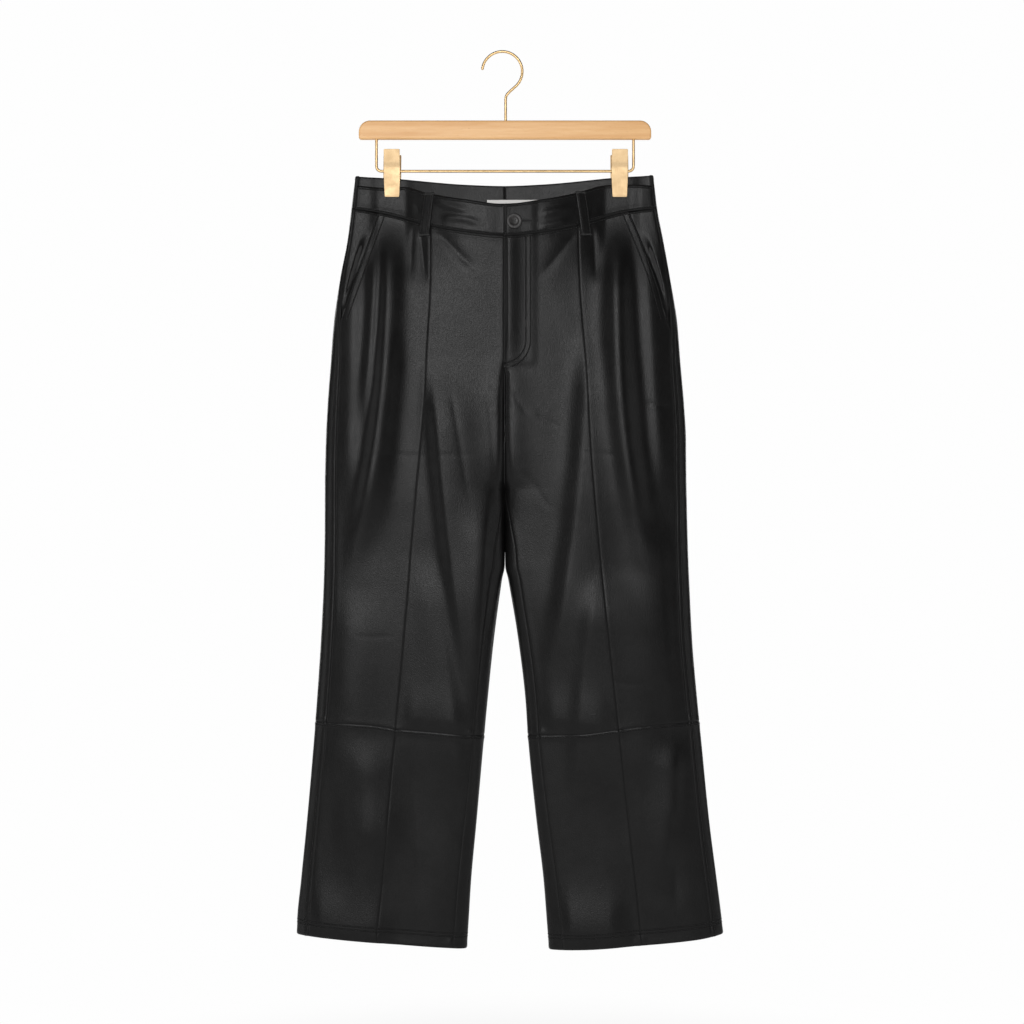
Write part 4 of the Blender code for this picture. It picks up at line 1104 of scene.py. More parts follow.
for name, side in SIDES.items():
    back_leg(name, side)
print("panels:", len(panels))

# %% [markdown]
# ## Pockets and fly
# Beside each slanted pocket edge the hip facing shows. It is sewn to the side seam and runs in behind
# the front, which gapes a little, so a wedge of shadow opens along the edge. The fly's shield lies
# behind the lapped edge and only closes the view through the gap.

# %% Pocket facings and fly shield
SINK_START, SINK_FULL = -312.0, -338.0
FACING_SETBACK = 3.5
FACING_LAP = 12.0
FACING_END = -358.0
FACING_DROP, DROP_MARGIN = 2.8, 3.0
FACING_SIZE, FACING_DOWN_STEP, FACING_ACROSS_STEP = 130.0, 3.0, 2.6
MOUTH_DEPTH = 5.5
MOUTH_HIGH, MOUTH_HIGH_FADE = -226.0, 36.0
MOUTH_LOW, MOUTH_LOW_FADE = -318.0, 40.0
MOUTH_FROM, MOUTH_FADE = 0.55, 0.4
SHIELD_EDGES = (-13.0, 34.0)
SHIELD_SIZE, SHIELD_DOWN_STEP, SHIELD_ACROSS_STEP = 160.0, 6.0, 4.0


def pocket_facing(name, side):
    def near_edge(_, z):
        lower = np.clip((SINK_START - z) / (SINK_START - SINK_FULL), 0, 1)
        return side_seam(side, z, SEAM + FACING_SETBACK * lower)

    def far_edge(_, z):
        return pocket_edge(side, z) - side * FACING_LAP

    def sink(x, z):
        seam = side_seam(side, z, SEAM)
        shown = np.abs(seam - pocket_edge(side, z))
        past_seam = np.abs(x - seam) / np.maximum(shown - DROP_MARGIN, 1)
        past_slant = (SINK_START - z) / (SINK_START - SINK_FULL)
        under = FACING_DROP * np.clip(np.maximum(past_seam, past_slant), 0, 1)
        gape = ease((z - MOUTH_LOW) / MOUTH_LOW_FADE) * ease((MOUTH_HIGH - z) / MOUTH_HIGH_FADE)
        return under + MOUTH_DEPTH * gape * ease((past_seam - MOUTH_FROM) / MOUTH_FADE)

    height = between(lambda x: front_waist_seam(x) - SEAM, lambda x: FACING_END + 0 * x, FACING_SIZE)
    cloth = lay(side, at_x(side, near_edge), at_x(side, far_edge), height,
                places(FACING_SIZE, FACING_DOWN_STEP), FACING_ACROSS_STEP, FACING_WALL, sink)
    cloth = shaped(cloth, (PLAIN, CUT, STITCHED, CUT))
    fields = sew(cloth, [Row("top", WAIST_ROW, TOP, BOTTOM)], "front")
    piece = write_cloth(f"hip_facing_{name}", cloth, fields)
    panels[piece.name] = stand_in(piece, f"pocket_facing_{name}"), cloth


def fly_shield():
    near, far = SHIELD_EDGES

    def sink(x, z):
        return WALL + FLY_RISE + 2 * GAP + 0 * x

    height = between(lambda x: front_waist_seam(x) - SEAM, lambda x: FLY_END + 6 + 0 * x, SHIELD_SIZE)
    cloth = lay(RIGHT, lambda z: turn_at(RIGHT, far + 0 * z, z), lambda z: turn_at(RIGHT, near + 0 * z, z),
                height, places(SHIELD_SIZE, SHIELD_DOWN_STEP), SHIELD_ACROSS_STEP, WALL, sink)
    piece = write_cloth("shield_behind_fly", shaped(cloth, (CUT, CUT, CUT, CUT)))
    panels[piece.name] = stand_in(piece, "fly_shield"), cloth


for name, side in SIDES.items():
    pocket_facing(name, side)
fly_shield()
print("panels with pockets and fly:", len(panels))

# %% [markdown]
# ## Waistband and belt loops
# The band is a folded strip, half as thick again as the panels, with a soft top edge. The right end
# laps over the left one and is held by the button. Belt loops are narrow strips sewn down at both
# ends, made from the band's own points moved out, so they follow it and never cut into it.

# %% Waistband
UNDERLAP_START, UNDERLAP_END = -26.0, 24.0
BAND_SIZE = 40.0
BAND_EDGES = (PLAIN, PLAIN, FOLDED, STITCHED)
LAP_EDGES = (PLAIN, FOLDED, FOLDED, STITCHED)
BAND_STEP, BACK_BAND_STEP = 2.4, 3.0
BAND_ROWS = (Row("top", 3.4, TOP, BOTTOM), Row("bottom", 2.4, TOP, BOTTOM))
LAP_ROW = Row("end", 3.6, TOP, BOTTOM)


def front_band(name, side):
    def end(z):
        return turn_at(side, (FLY_EDGE + SEAM if side == RIGHT else UNDERLAP_END) + 0 * z, z)

    def sink(x, z):
        under = ease((x - UNDERLAP_START) / (FLY_EDGE - GAP - UNDERLAP_START))
        return (BAND_WALL + GAP - FLY_RISE) * under + 0 * z if side == LEFT else 0 * x

    height = between(lambda x: edge_height(FRONT_TOP, x), lambda x: front_waist_seam(x) + SEAM, BAND_SIZE)
    cloth = lay(side, limit(side, side_seam, SEAM), end, height, places(BAND_SIZE, BAND_STEP), BAND_STEP,
                BAND_WALL, sink)
    cloth = shaped(cloth, LAP_EDGES if side == RIGHT else BAND_EDGES, 0.7)
    rows = [*BAND_ROWS, LAP_ROW] if side == RIGHT else BAND_ROWS
    piece = write_cloth(f"band_front_{name}", cloth, sew(cloth, rows, "waist"), vinyl)
    panels[piece.name] = stand_in(piece, f"waistband_front_{name}"), cloth


def back_band(name, side):
    def start(z):
        return 2 * math.pi - turn_at(side, side * SEAM + 0 * z, z)

    def end(z):
        return back_end(side, z)

    height = between(lambda x: edge_height(BACK_TOP, x), lambda x: back_waist_seam(x) + SEAM, BAND_SIZE)
    cloth = lay(side, start, end, height, places(BAND_SIZE, BACK_BAND_STEP), BACK_BAND_STEP, BAND_WALL)
    cloth = shaped(cloth, BAND_EDGES, 0.7)
    piece = write_cloth(f"band_back_{name}", cloth, [], vinyl)
    panels[piece.name] = stand_in(piece, f"waistband_back_{name}"), cloth


for name, side in SIDES.items():
    front_band(name, side)
    back_band(name, side)
print("panels with the band:", len(panels))

# %% Belt loops
LOOP_WIDTH = 13.0
LOOP_PUFF = 1.2
LOOP_ROW, LOOP_END_ROW = 2.3, 1.6
SIDE_LOOP_TOP, SIDE_LOOP_LOW = -159.5, -240.0
SIDE_LOOP_FROM, SIDE_LOOP_WIDTH = 0.6, 12.4
BACK_LOOP_TOP, BACK_LOOP_LOW = -170.5, -226.0
LOOP_EDGES = (FOLDED, FOLDED, CUT, CUT)
Loop = namedtuple("Loop", "name side top_x top_z low_x low_z")
FRONT_LOOPS = (
    Loop("belt_loop_front_L", LEFT, -96.0, -180.5, -102.8, -236.0),
    Loop("belt_loop_front_R", RIGHT, 96.0, -179.0, 103.7, -235.5),
)
ACROSS_LOOP = np.array([0.0, 0.05, 0.12, 0.22, 0.36, 0.5, 0.64, 0.78, 0.88, 0.95, 1.0])


def loop_on(name, node, side, turn, z, thickness=LOOP_WALL):
    """A strip over given turns and heights, with the most puff half way down."""
    points, normals = leg_point(side, turn, z), outward(side, turn, z)
    half_way = np.sin(np.linspace(0, math.pi, len(points)))[:, None, None]
    inner = points + normals * (GAP + LOOP_PUFF * half_way)
    outer = points + normals * (GAP + thickness + LOOP_PUFF * half_way)
    cloth = measured(side, points[..., 0], z, outer, inner, normals)
    cloth = shaped(cloth, LOOP_EDGES)
    rows = [Row("start", LOOP_ROW, TOP, BOTTOM), Row("end", LOOP_ROW, TOP, BOTTOM)]
    rows += [Row("top", LOOP_END_ROW, TOP, BOTTOM), Row("bottom", LOOP_END_ROW, TOP, BOTTOM)]
    piece = write_cloth(name, cloth, sew(cloth, rows, "waist"))
    panels[piece.name] = stand_in(piece, node), cloth


for loop in FRONT_LOOPS:
    run = np.linspace(0, 1, 26)[:, None]
    x = loop.top_x + (loop.low_x - loop.top_x) * run + (ACROSS_LOOP[None, :] - 0.5) * LOOP_WIDTH
    z = loop.top_z + (loop.low_z - loop.top_z) * run + 0 * x
    loop_on(loop.name.replace("belt_", ""), loop.name, loop.side, turn_at(loop.side, x, z), z)
for name, side in SIDES.items():
    z = np.linspace(SIDE_LOOP_TOP, SIDE_LOOP_LOW, 30)[:, None] + 0 * ACROSS_LOOP[None, :]
    x = outer_edge(side, z) - side * (SIDE_LOOP_FROM + SIDE_LOOP_WIDTH * ACROSS_LOOP[None, :])
    loop_on(f"loop_side_{name}", f"belt_loop_side_{name}", side, 2 * math.pi - turn_at(side, x, z), z)
z = np.linspace(BACK_LOOP_TOP, BACK_LOOP_LOW, 26)[:, None] + 0 * ACROSS_LOOP[None, :]
x = (ACROSS_LOOP[None, :] - 0.5) * LOOP_WIDTH + 0 * z
loop_on("loop_back", "belt_loop_back", RIGHT, 2 * math.pi - turn_at(RIGHT, x, z), z)
print("pieces of cloth:", len(panels))

# %% [markdown]
# ## Stitches
# Each topstitched seam shows a row of short thread stitches, about eight to the inch. There are nearly
# three thousand, all alike, so Geometry Nodes set them: the row is a curve, points are spaced along
# it, and one small rounded stitch is put on each point, turned along the row and standing on the
# cloth. Bar tacks and the buttonhole use the same tree with stitches set across the row, close together.

# %% Tree that sets stitches along a row
STITCH_INPUTS = {
    "Pitch": 0.0033,
    "Stitch Length": 0.0027,
    "Thread Width": 0.00062,
    "Thread Height": 0.00042,
    "Turn": 0.0,
    "Unevenness": 0.06,
}
BEAD_SEGMENTS, BEAD_RINGS = 6, 4


def make_stitch_tree():
    tree = bpy.data.node_groups.new("stitches_along_a_row", "GeometryNodeTree")
    face = tree.interface
    face.new_socket("Geometry", in_out="INPUT", socket_type="NodeSocketGeometry")
    for label, value in STITCH_INPUTS.items():
        face.new_socket(label, in_out="INPUT", socket_type="NodeSocketFloat").default_value = value
    face.new_socket("Seed", in_out="INPUT", socket_type="NodeSocketInt").default_value = 7
    face.new_socket("Thread", in_out="INPUT", socket_type="NodeSocketMaterial")
    face.new_socket("Geometry", in_out="OUTPUT", socket_type="NodeSocketGeometry")

    def put(kind, settings=None, **inputs):
        node = tree.nodes.new(kind)
        for key, value in (settings or {}).items():
            setattr(node, key, value)
        for key, value in inputs.items():
            socket = node.inputs[key.replace("_", " ")]
            if isinstance(value, bpy.types.NodeSocket):
                tree.links.new(value, socket)
            else:
                socket.default_value = value
        return node

    given = put("NodeGroupInput").outputs
    curve = put("GeometryNodeMeshToCurve", Mesh=given["Geometry"]).outputs["Curve"]
    spots = put("GeometryNodeCurveToPoints", {"mode": "LENGTH"}, Curve=curve, Length=given["Pitch"])
    lift = put("GeometryNodeInputNamedAttribute", {"data_type": "FLOAT_VECTOR"}, Name="lift")
    along = put("FunctionNodeAlignRotationToVector", {"axis": "X"}, Vector=spots.outputs["Tangent"])
    upright = put("FunctionNodeAlignRotationToVector", {"axis": "Z", "pivot_axis": "X"},
                  Rotation=along.outputs["Rotation"], Vector=lift.outputs["Attribute"])
    low = put("ShaderNodeMath", {"operation": "MULTIPLY"})
    tree.links.new(given["Unevenness"], low.inputs[0])
    low.inputs[1].default_value = -1.0
    stray = put("FunctionNodeRandomValue", {"data_type": "FLOAT"}, Seed=given["Seed"])
    tree.links.new(low.outputs[0], stray.inputs[2])
    tree.links.new(given["Unevenness"], stray.inputs[3])
    turned_by = put("ShaderNodeMath", {"operation": "ADD"})
    tree.links.new(given["Turn"], turned_by.inputs[0])
    tree.links.new(stray.outputs[1], turned_by.inputs[1])
    angles = put("ShaderNodeCombineXYZ", Z=turned_by.outputs[0])
    turning = put("FunctionNodeEulerToRotation", Euler=angles.outputs[0])
    placed = put("FunctionNodeRotateRotation", {"rotation_space": "LOCAL"},
                 Rotation=upright.outputs["Rotation"], Rotate_By=turning.outputs["Rotation"])
    size = put("ShaderNodeCombineXYZ", X=given["Stitch Length"], Y=given["Thread Width"],
               Z=given["Thread Height"])
    bead = put("GeometryNodeMeshUVSphere", Segments=BEAD_SEGMENTS, Rings=BEAD_RINGS, Radius=0.5)
    stitch = put("GeometryNodeTransform", Geometry=bead.outputs["Mesh"], Scale=size.outputs[0])
    many = put("GeometryNodeInstanceOnPoints", Points=spots.outputs["Points"],
               Instance=stitch.outputs["Geometry"], Rotation=placed.outputs["Rotation"])
    real = put("GeometryNodeRealizeInstances", Geometry=many.outputs["Instances"])
    soft = put("GeometryNodeSetShadeSmooth", Geometry=real.outputs["Geometry"])
    coloured = put("GeometryNodeSetMaterial", Geometry=soft.outputs["Geometry"], Material=given["Thread"])
    put("NodeGroupOutput", Geometry=coloured.outputs["Geometry"])
    return tree


stitch_tree = make_stitch_tree()
print("stitch tree nodes:", len(stitch_tree.nodes))

# %% Thread and setting the stitches
THREAD_LIFT = 0.10


def make_thread():
    material, shader = start_material("thread", (0.006, 0.0059, 0.0058), 0.6)
    shader.inputs["Sheen Weight"].default_value = 0.1
    place = own_coordinates(material)
    twist = noise(material, place, 2600.0, 2.0)
    tone = mixed(material, twist, (0.003, 0.0029, 0.0029), (0.009, 0.0088, 0.0086))
    attach(material, shader, Base_Color=tone, Normal=bumped(material, twist, 0.00008))
    return material


def set_stitches(name, paths, **sizes):
    """One mesh of all the stitches along some paths, each given as points and normals."""
    points = np.concatenate([p + n * THREAD_LIFT for p, n in paths])
    lifts = np.concatenate([n for _, n in paths])
    edges, first = [], 0
    for p, _ in paths:
        edges += [(k, k + 1) for k in range(first, first + len(p) - 1)]
        first += len(p)
    mesh = bpy.data.meshes.new(name)
    mesh.from_pydata((points * METRES).tolist(), edges, [])
    set_field(mesh, "lift", "FLOAT_VECTOR", lifts)
    piece = bpy.data.objects.new(name, mesh)
    bpy.context.scene.collection.objects.link(piece)
    setter = piece.modifiers.new("stitches", "NODES")
    setter.node_group = stitch_tree
    values = {**sizes, "Thread": thread}
    for item in stitch_tree.interface.items_tree:
        if item.in_out == "INPUT" and item.name in values:
            setter[item.identifier] = values[item.name]
    whole = bpy.data.meshes.new_from_object(piece.evaluated_get(bpy.context.evaluated_depsgraph_get()))
    piece.modifiers.clear()
    piece.data = whole
    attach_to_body(piece, "root")
    print(name, "stitches:", len(whole.polygons) // (BEAD_SEGMENTS * BEAD_RINGS))
    return piece


def on_front(side, x, z):
    """Points and normals on the front of a leg at given places."""
    turn = turn_at(side, np.asarray(x, float), np.asarray(z, float))
    return leg_point(side, turn, np.asarray(z, float)), outward(side, turn, np.asarray(z, float))


def on_cloth(piece, x, z):
    """Points on the front of a finished piece of cloth, with its normals there."""
    corners = [corner.co for corner in piece.data.vertices]
    tree = BVHTree.FromPolygons(corners, [face.vertices for face in piece.data.polygons])
    hits = [tree.ray_cast(Vector((a, -300, b)) * METRES, Vector((0, 1, 0))) for a, b in zip(x, z)]
    return np.array([hit[0] / METRES for hit in hits]), np.array([hit[1] for hit in hits])


thread = make_thread()
for group, paths in threads.items():
    set_stitches(f"stitches_{group}", paths)

# %% Bar tacks
Tack = namedtuple("Tack", "side from_x from_z to_x to_z")
TACKS = (
    Tack(RIGHT, -0.8, -402.5, 8.5, -404.0),
    Tack(RIGHT, 26.0, -352.0, 26.8, -343.0),
    Tack(LEFT, -207.0, -338.0, -204.0, -329.0),
    Tack(RIGHT, 204.2, -338.0, 201.2, -329.0),
)
TACK_ROW = 1.8
TACK_SIZES = {"Pitch": 0.00055, "Stitch Length": 0.0021, "Thread Width": 0.00055, "Turn": math.pi / 2}
tack_paths = []
for tack in TACKS:
    x, z = np.linspace(tack.from_x, tack.to_x, 12), np.linspace(tack.from_z, tack.to_z, 12)
    tack_paths.append(on_front(tack.side, x, z))
for loop in FRONT_LOOPS:
    piece, cloth = panels[loop.name.replace("belt_", "")]
    for edge in ("top", "bottom"):
        tack_paths.append(row_path(cloth, Row(edge, TACK_ROW, TOP, BOTTOM)))
set_stitches("bar_tacks", tack_paths, **TACK_SIZES)

# %% [markdown]
# ## Button, buttonhole and label
# The button is a turned disc with a rim, a dished middle and four holes, sewn on with crossed thread.
# A lathe profile gives the disc in a few points, and small cylinders cut the holes. The buttonhole is
# a slit with a round end, overcast with close stitches, and a near-black prism of painted shadow fills
# its opening. The label is bare woven tape.

# %% Hard pieces turned and cut


def turned(name, profile, centre, axis, segments, materials, sharp=35.0):
    """A closed turned piece; the profile is (radius, height) from one pole to the other."""
    axis = Vector(axis).normalized()
    across = axis.orthogonal().normalized()
    beside = axis.cross(across)
    points, rings = [], []
    for radius, height in profile:
        middle = Vector(centre) + axis * height
        count = 1 if radius == 0 else segments
        rings.append(list(range(len(points), len(points) + count)))
        for k in range(count):
            angle = 2 * math.pi * k / segments
            points.append(tuple(middle + (across * math.cos(angle) + beside * math.sin(angle)) * radius))
    faces = []
    for low, high in zip(rings, rings[1:]):
        for k in range(segments):
            n = (k + 1) % segments
            corners = [low[k % len(low)], low[n % len(low)], high[n % len(high)], high[k % len(high)]]
            faces.append(list(dict.fromkeys(corners)))
    return write_mesh(name, points, faces, materials, sharp)


def applied(piece):
    """Turns a piece and its modifiers into one plain mesh."""
    whole = bpy.data.meshes.new_from_object(piece.evaluated_get(bpy.context.evaluated_depsgraph_get()))
    piece.modifiers.clear()
    piece.data = whole
    return piece


def cut_with(piece, cutter, operation="DIFFERENCE"):
    cut = piece.modifiers.new("cut", "BOOLEAN")
    cut.operation, cut.solver, cut.object = operation, "EXACT", cutter
    applied(piece)
    bpy.data.objects.remove(cutter)
    return piece


BUTTON_CENTRE = (11.8, -218.1)
BUTTON_RADIUS = 9.8
BUTTON_HEIGHT = 3.2
HOLE_PLACE, HOLE_RADIUS = 1.55, 0.75


def make_button_material():
    material, shader = start_material("button_resin", (0.035, 0.033, 0.032), 0.3)
    shader.inputs["Specular IOR Level"].default_value = 0.22
    place = own_coordinates(material)
    clouds = noise(material, place, 260.0, 5.0, 0.65)
    tone = mixed(material, ranged(material, clouds, 0.35, 0.65, 0.0, 1.0), (0.009, 0.0085, 0.0085),
                 (0.034, 0.032, 0.031))
    rough = ranged(material, noise(material, place, 900.0), 0.3, 0.7, 0.30, 0.46)
    attach(material, shader, Base_Color=tone, Roughness=rough, Normal=bumped(material, clouds, 0.00005))
    return material


def button():
    seat, normal = on_front(RIGHT, *BUTTON_CENTRE)
    r, h = BUTTON_RADIUS, BUTTON_HEIGHT
    profile = [(0.0, 0.5), (r - 2.2, 0.5), (r - 0.9, 0.9), (r - 0.2, 1.5), (r, 2.0), (r - 0.15, h - 0.5)]
    profile += [(r - 0.6, h - 0.1), (r - 1.2, h), (r * 0.66, h - 0.05), (r * 0.58, h - 0.3)]
    profile += [(r * 0.50, h - 0.9), (r * 0.42, h - 1.25), (0.0, h - 1.35)]
    resin = make_button_material()
    piece = turned("button_with_rim", profile, seat, normal, 64, [resin])
    axis = Vector(normal)
    right = Vector((1, 0, 0)).cross(axis).cross(axis).normalized()
    up = axis.cross(right)
    shape = ((0.0, 0.9), (HOLE_RADIUS, 0.9), (HOLE_RADIUS, h + 1), (0.0, h + 1))
    for a, b in ((1, 1), (1, -1), (-1, 1), (-1, -1)):
        middle = Vector(seat) + (right * a + up * b) * HOLE_PLACE
        cut_with(piece, turned("hole", shape, middle, normal, 14, [resin]))
    piece.data.shade_smooth()
    piece.data.set_sharp_from_angle(angle=math.radians(35))
    stand_in(piece, "button", slot="button_plastic")
    crossing = []
    for a in (1, -1):
        ends = [Vector(seat) + axis * (h - 1.15) + (right * s + up * s * a) * HOLE_PLACE for s in (-1, 0, 1)]
        ends[1] += axis * 0.55
        crossing.append((np.array(ends), np.array([normal] * 3)))
    set_stitches("button_thread", crossing, **{
        "Pitch": 0.0006, "Stitch Length": 0.0011, "Thread Width": 0.0009, "Thread Height": 0.0008})
    return piece


button()
print("button at", BUTTON_CENTRE)

# %% Buttonhole
HOLE_FROM, HOLE_TO, HOLE_Z = 21.0, 33.0, -217.6
SLIT_HALF, EYE_HALF = 1.3, 1.9
SLIT_PROUD, SLIT_DEEP = 0.3, 0.5


def buttonhole():
    """A slit on the finished band, round at its far end and overcast all the way; its opening is a near-black
    prism of painted shadow.
    """
    straight = np.linspace(HOLE_FROM, HOLE_TO - EYE_HALF, 14)
    angles = np.linspace(math.pi * 0.8, -math.pi * 0.8, 14)
    eye_x, eye_z = HOLE_TO + EYE_HALF * np.cos(angles), HOLE_Z + EYE_HALF * np.sin(angles)
    x = np.concatenate([straight, eye_x, straight[::-1]])
    z = np.concatenate([HOLE_Z + SLIT_HALF + 0 * straight, eye_z, HOLE_Z - SLIT_HALF + 0 * straight])
    points, normals = on_cloth(bpy.data.objects["band_front_R"], x, z)
    set_stitches("buttonhole_stitches", [(points, normals)], **{
        "Pitch": 0.0005, "Stitch Length": 0.0021, "Thread Width": 0.0005, "Turn": math.pi / 2})
    count = len(points)
    rim = points + normals * SLIT_PROUD
    bed = points - normals * SLIT_DEEP
    faces = [list(range(count)), list(range(2 * count - 1, count - 1, -1))]
    faces += [[k, (k + 1) % count, (k + 1) % count + count, k + count] for k in range(count)]
    # Painted shadow: the slit's opening is near black, and noise mottles it a little.
    dark, shader = start_material("buttonhole_shadow", (0.002, 0.002, 0.002), 0.9)
    fibres = noise(dark, own_coordinates(dark), 1500.0)
    attach(dark, shader, Base_Color=mixed(dark, fibres, (0.001, 0.001, 0.001), (0.004, 0.004, 0.004)))
    piece = write_mesh("buttonhole_slit", np.concatenate([rim, bed]), faces, [dark])
    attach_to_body(piece, "root")


buttonhole()
print("buttonhole from", HOLE_FROM, "to", HOLE_TO)

# %% Label
LABEL_EDGES = (-23.4, 50.2)
LABEL_TOP, LABEL_HEIGHT = -187.0, 22.0


def make_label_material():
    material, shader = start_material("woven_tape", (0.86, 0.85, 0.83), 0.75)
    shader.inputs["Sheen Weight"].default_value = 0.2
    place = own_coordinates(material)

    def ribs(direction, scale):
        return add(material, "ShaderNodeTexWave", {"bands_direction": direction}, Vector=place,
                   Scale=scale).outputs["Fac"]

    weave = maths(material, "MULTIPLY", ribs("X", 700.0), ribs("Z", 900.0))
    tone = mixed(material, weave, (0.78, 0.77, 0.75), (0.92, 0.91, 0.90))
    attach(material, shader, Base_Color=tone, Normal=bumped(material, weave, 0.00012))
    return material


def label():
    near, far = LABEL_EDGES
    tape = make_label_material()
    x, z = np.meshgrid(np.linspace(near, far, 60), LABEL_TOP - places(LABEL_HEIGHT, 1.5))
    turn = 2 * math.pi - turn_at(RIGHT, x, z)
    band = leg_point(RIGHT, turn, z, BAND_WALL)
    wave = 0.35 * np.sin(x / 6.5) * np.exp((z - LABEL_TOP) / 9)
    near_face, far_face = band.copy(), band.copy()
    far_face[..., 1] -= GAP
    near_face[..., 1] -= GAP + 1.0 + wave - 0.4 * bump((z - LABEL_TOP) / 0.8)
    outer, inner, rim = shell_faces(*x.shape)
    points = np.concatenate([near_face.reshape(-1, 3), far_face.reshape(-1, 3)])
    piece = write_mesh("woven_tape_label", points, np.concatenate([outer, inner, rim]), [tape])
    stand_in(piece, "label", slot="woven_label")


label()
print("label", LABEL_EDGES)

# %% [markdown]
# ## Hanger
# The bar is sanded beech, the hook and the lower rail are bent wire, and each clip is two pressed
# brass plates on a coil spring. All of it is hard, so it is built from arcs and straight runs with
# rounded edges, finer than the solids but to the same sizes.

# %% Wood and metal


def make_wood():
    material, shader = start_material("beech", (0.74, 0.44, 0.19), 0.5)
    shader.inputs["Specular IOR Level"].default_value = 0.3
    along = own_coordinates(material, (0.05, 1.0, 1.0))
    bands = noise(material, along, 130.0, 4.0, 0.6)
    fibres = noise(material, own_coordinates(material, (0.03, 1.0, 1.0)), 1500.0, 3.0, 0.6)
    flecks = noise(material, own_coordinates(material, (0.16, 1.0, 1.0)), 1300.0, 2.0, 0.5)
    tone = mixed(material, ranged(material, bands, 0.35, 0.65, 0.0, 1.0), (0.63, 0.35, 0.145),
                 (0.74, 0.46, 0.22))
    tone = mixed(material, ranged(material, fibres, 0.35, 0.75, 0.0, 0.35), tone, (0.60, 0.31, 0.11))
    tone = mixed(material, ranged(material, flecks, 0.66, 0.74, 0.0, 0.5), tone, (0.46, 0.22, 0.075))
    rough = ranged(material, fibres, 0.3, 0.7, 0.36, 0.5)
    normal = bumped(material, maths(material, "ADD", fibres, flecks), 0.00005)
    attach(material, shader, Base_Color=tone, Roughness=rough, Normal=normal)
    return material


def make_metal(name, dark, light, roughness, brushed):
    """A brushed metal: fine lines one way, and slow changes of tone from handling."""
    material, shader = start_material(name, light, roughness, 1.0)
    lines = noise(material, own_coordinates(material, brushed), 1800.0, 2.0, 0.5)
    handled = noise(material, own_coordinates(material), 90.0, 4.0, 0.6)
    tone = mixed(material, ranged(material, lines, 0.3, 0.7, 0.0, 1.0), dark, light)
    rough = maths(material, "ADD", ranged(material, handled, 0.3, 0.7, roughness - 0.06, roughness + 0.08),
                  ranged(material, lines, 0.3, 0.7, -0.04, 0.04))
    attach(material, shader, Base_Color=tone, Roughness=rough, Normal=bumped(material, lines, 0.00002))
    return material


wood = make_wood()
clip_brass = make_metal("satin_brass", (0.60, 0.43, 0.24), (0.70, 0.53, 0.32), 0.60, (1.0, 1.0, 0.03))
wire_metal = make_metal("aged_brass_wire", (0.50, 0.34, 0.16), (0.66, 0.47, 0.25), 0.42, (0.2, 0.2, 0.2))
print("hanger materials:", wood.name, clip_brass.name, wire_metal.name)

# %% Wires
HOOK_RADIUS = 1.75
HOOK_CENTRE = (-3.5, -23.6)
HOOK_BEND = 25.6
HOOK_TIP_ANGLE, HOOK_LEAVE_ANGLE = 172.0, -45.0
SHANK_X, SHANK_TOP = 0.8, -51.0
WIRE_RADIUS = 1.8
WIRE_ARM_X = 164.5
RAIL_Z = -151.3
WIRE_BEND = 6.4
BORE_DEPTH = 14.0
BAR_TOP, BAR_BOTTOM = -86.9, -110.7


def arc(centre, radius, start, end, count):
    angles = np.radians(np.linspace(start, end, count))
    return [(centre[0] + radius * math.cos(a), 0.0, centre[1] + radius * math.sin(a)) for a in angles]


def wire(name, path, radius, material, sides=20):
    """A round wire along a path, its ends rounded off."""
    path = np.array(path, float)
    along = np.gradient(path, axis=0)
    along /= np.linalg.norm(along, axis=1, keepdims=True)
    across = np.cross(along[0], (0.31, 0.9, 0.2))
    rings = []
    for k, (point, ahead) in enumerate(zip(path, along)):
        across = across - ahead * np.dot(across, ahead)
        across /= np.linalg.norm(across)
        rings.append((point, ahead, across, radius))

    def cap(ring, way):
        point, ahead, across, _ = ring
        return [(point + way * ahead * radius * math.sin(a), ahead, across, radius * math.cos(a))
                for a in np.radians((20, 45, 70))]

    rings = cap(rings[0], -1)[::-1] + rings + cap(rings[-1], 1)
    points = []
    for point, ahead, across, reach in rings:
        beside = np.cross(ahead, across)
        for k in range(sides):
            angle = 2 * math.pi * k / sides
            points.append(point + (across * math.cos(angle) + beside * math.sin(angle)) * reach)
    faces = []
    for ring in range(len(rings) - 1):
        for k in range(sides):
            a, b = ring * sides + k, ring * sides + (k + 1) % sides
            faces.append((a, b, b + sides, a + sides))
    faces += [tuple(range(sides)), tuple(range(len(points) - sides, len(points)))]
    return write_mesh(name, np.array(points), faces, [material])


def hook():
    path = arc(HOOK_CENTRE, HOOK_BEND, HOOK_TIP_ANGLE, HOOK_LEAVE_ANGLE, 64)
    leave_x, _, leave_z = path[-1]
    for share in (0.4, 0.8):
        x = leave_x + (SHANK_X + 3.4 - leave_x) * share
        path.append((x, 0.0, leave_z + (SHANK_TOP - leave_z) * share))
    path += [(SHANK_X + 1.6, 0.0, SHANK_TOP - 2.2), (SHANK_X + 0.3, 0.0, SHANK_TOP - 5.2)]
    path += [(SHANK_X, 0.0, SHANK_TOP - 9.0), (SHANK_X, 0.0, BAR_TOP - BORE_DEPTH + 2)]
    return stand_in(wire("hook_wire", path, HOOK_RADIUS, wire_metal), "hanger_hook", slot="wire")


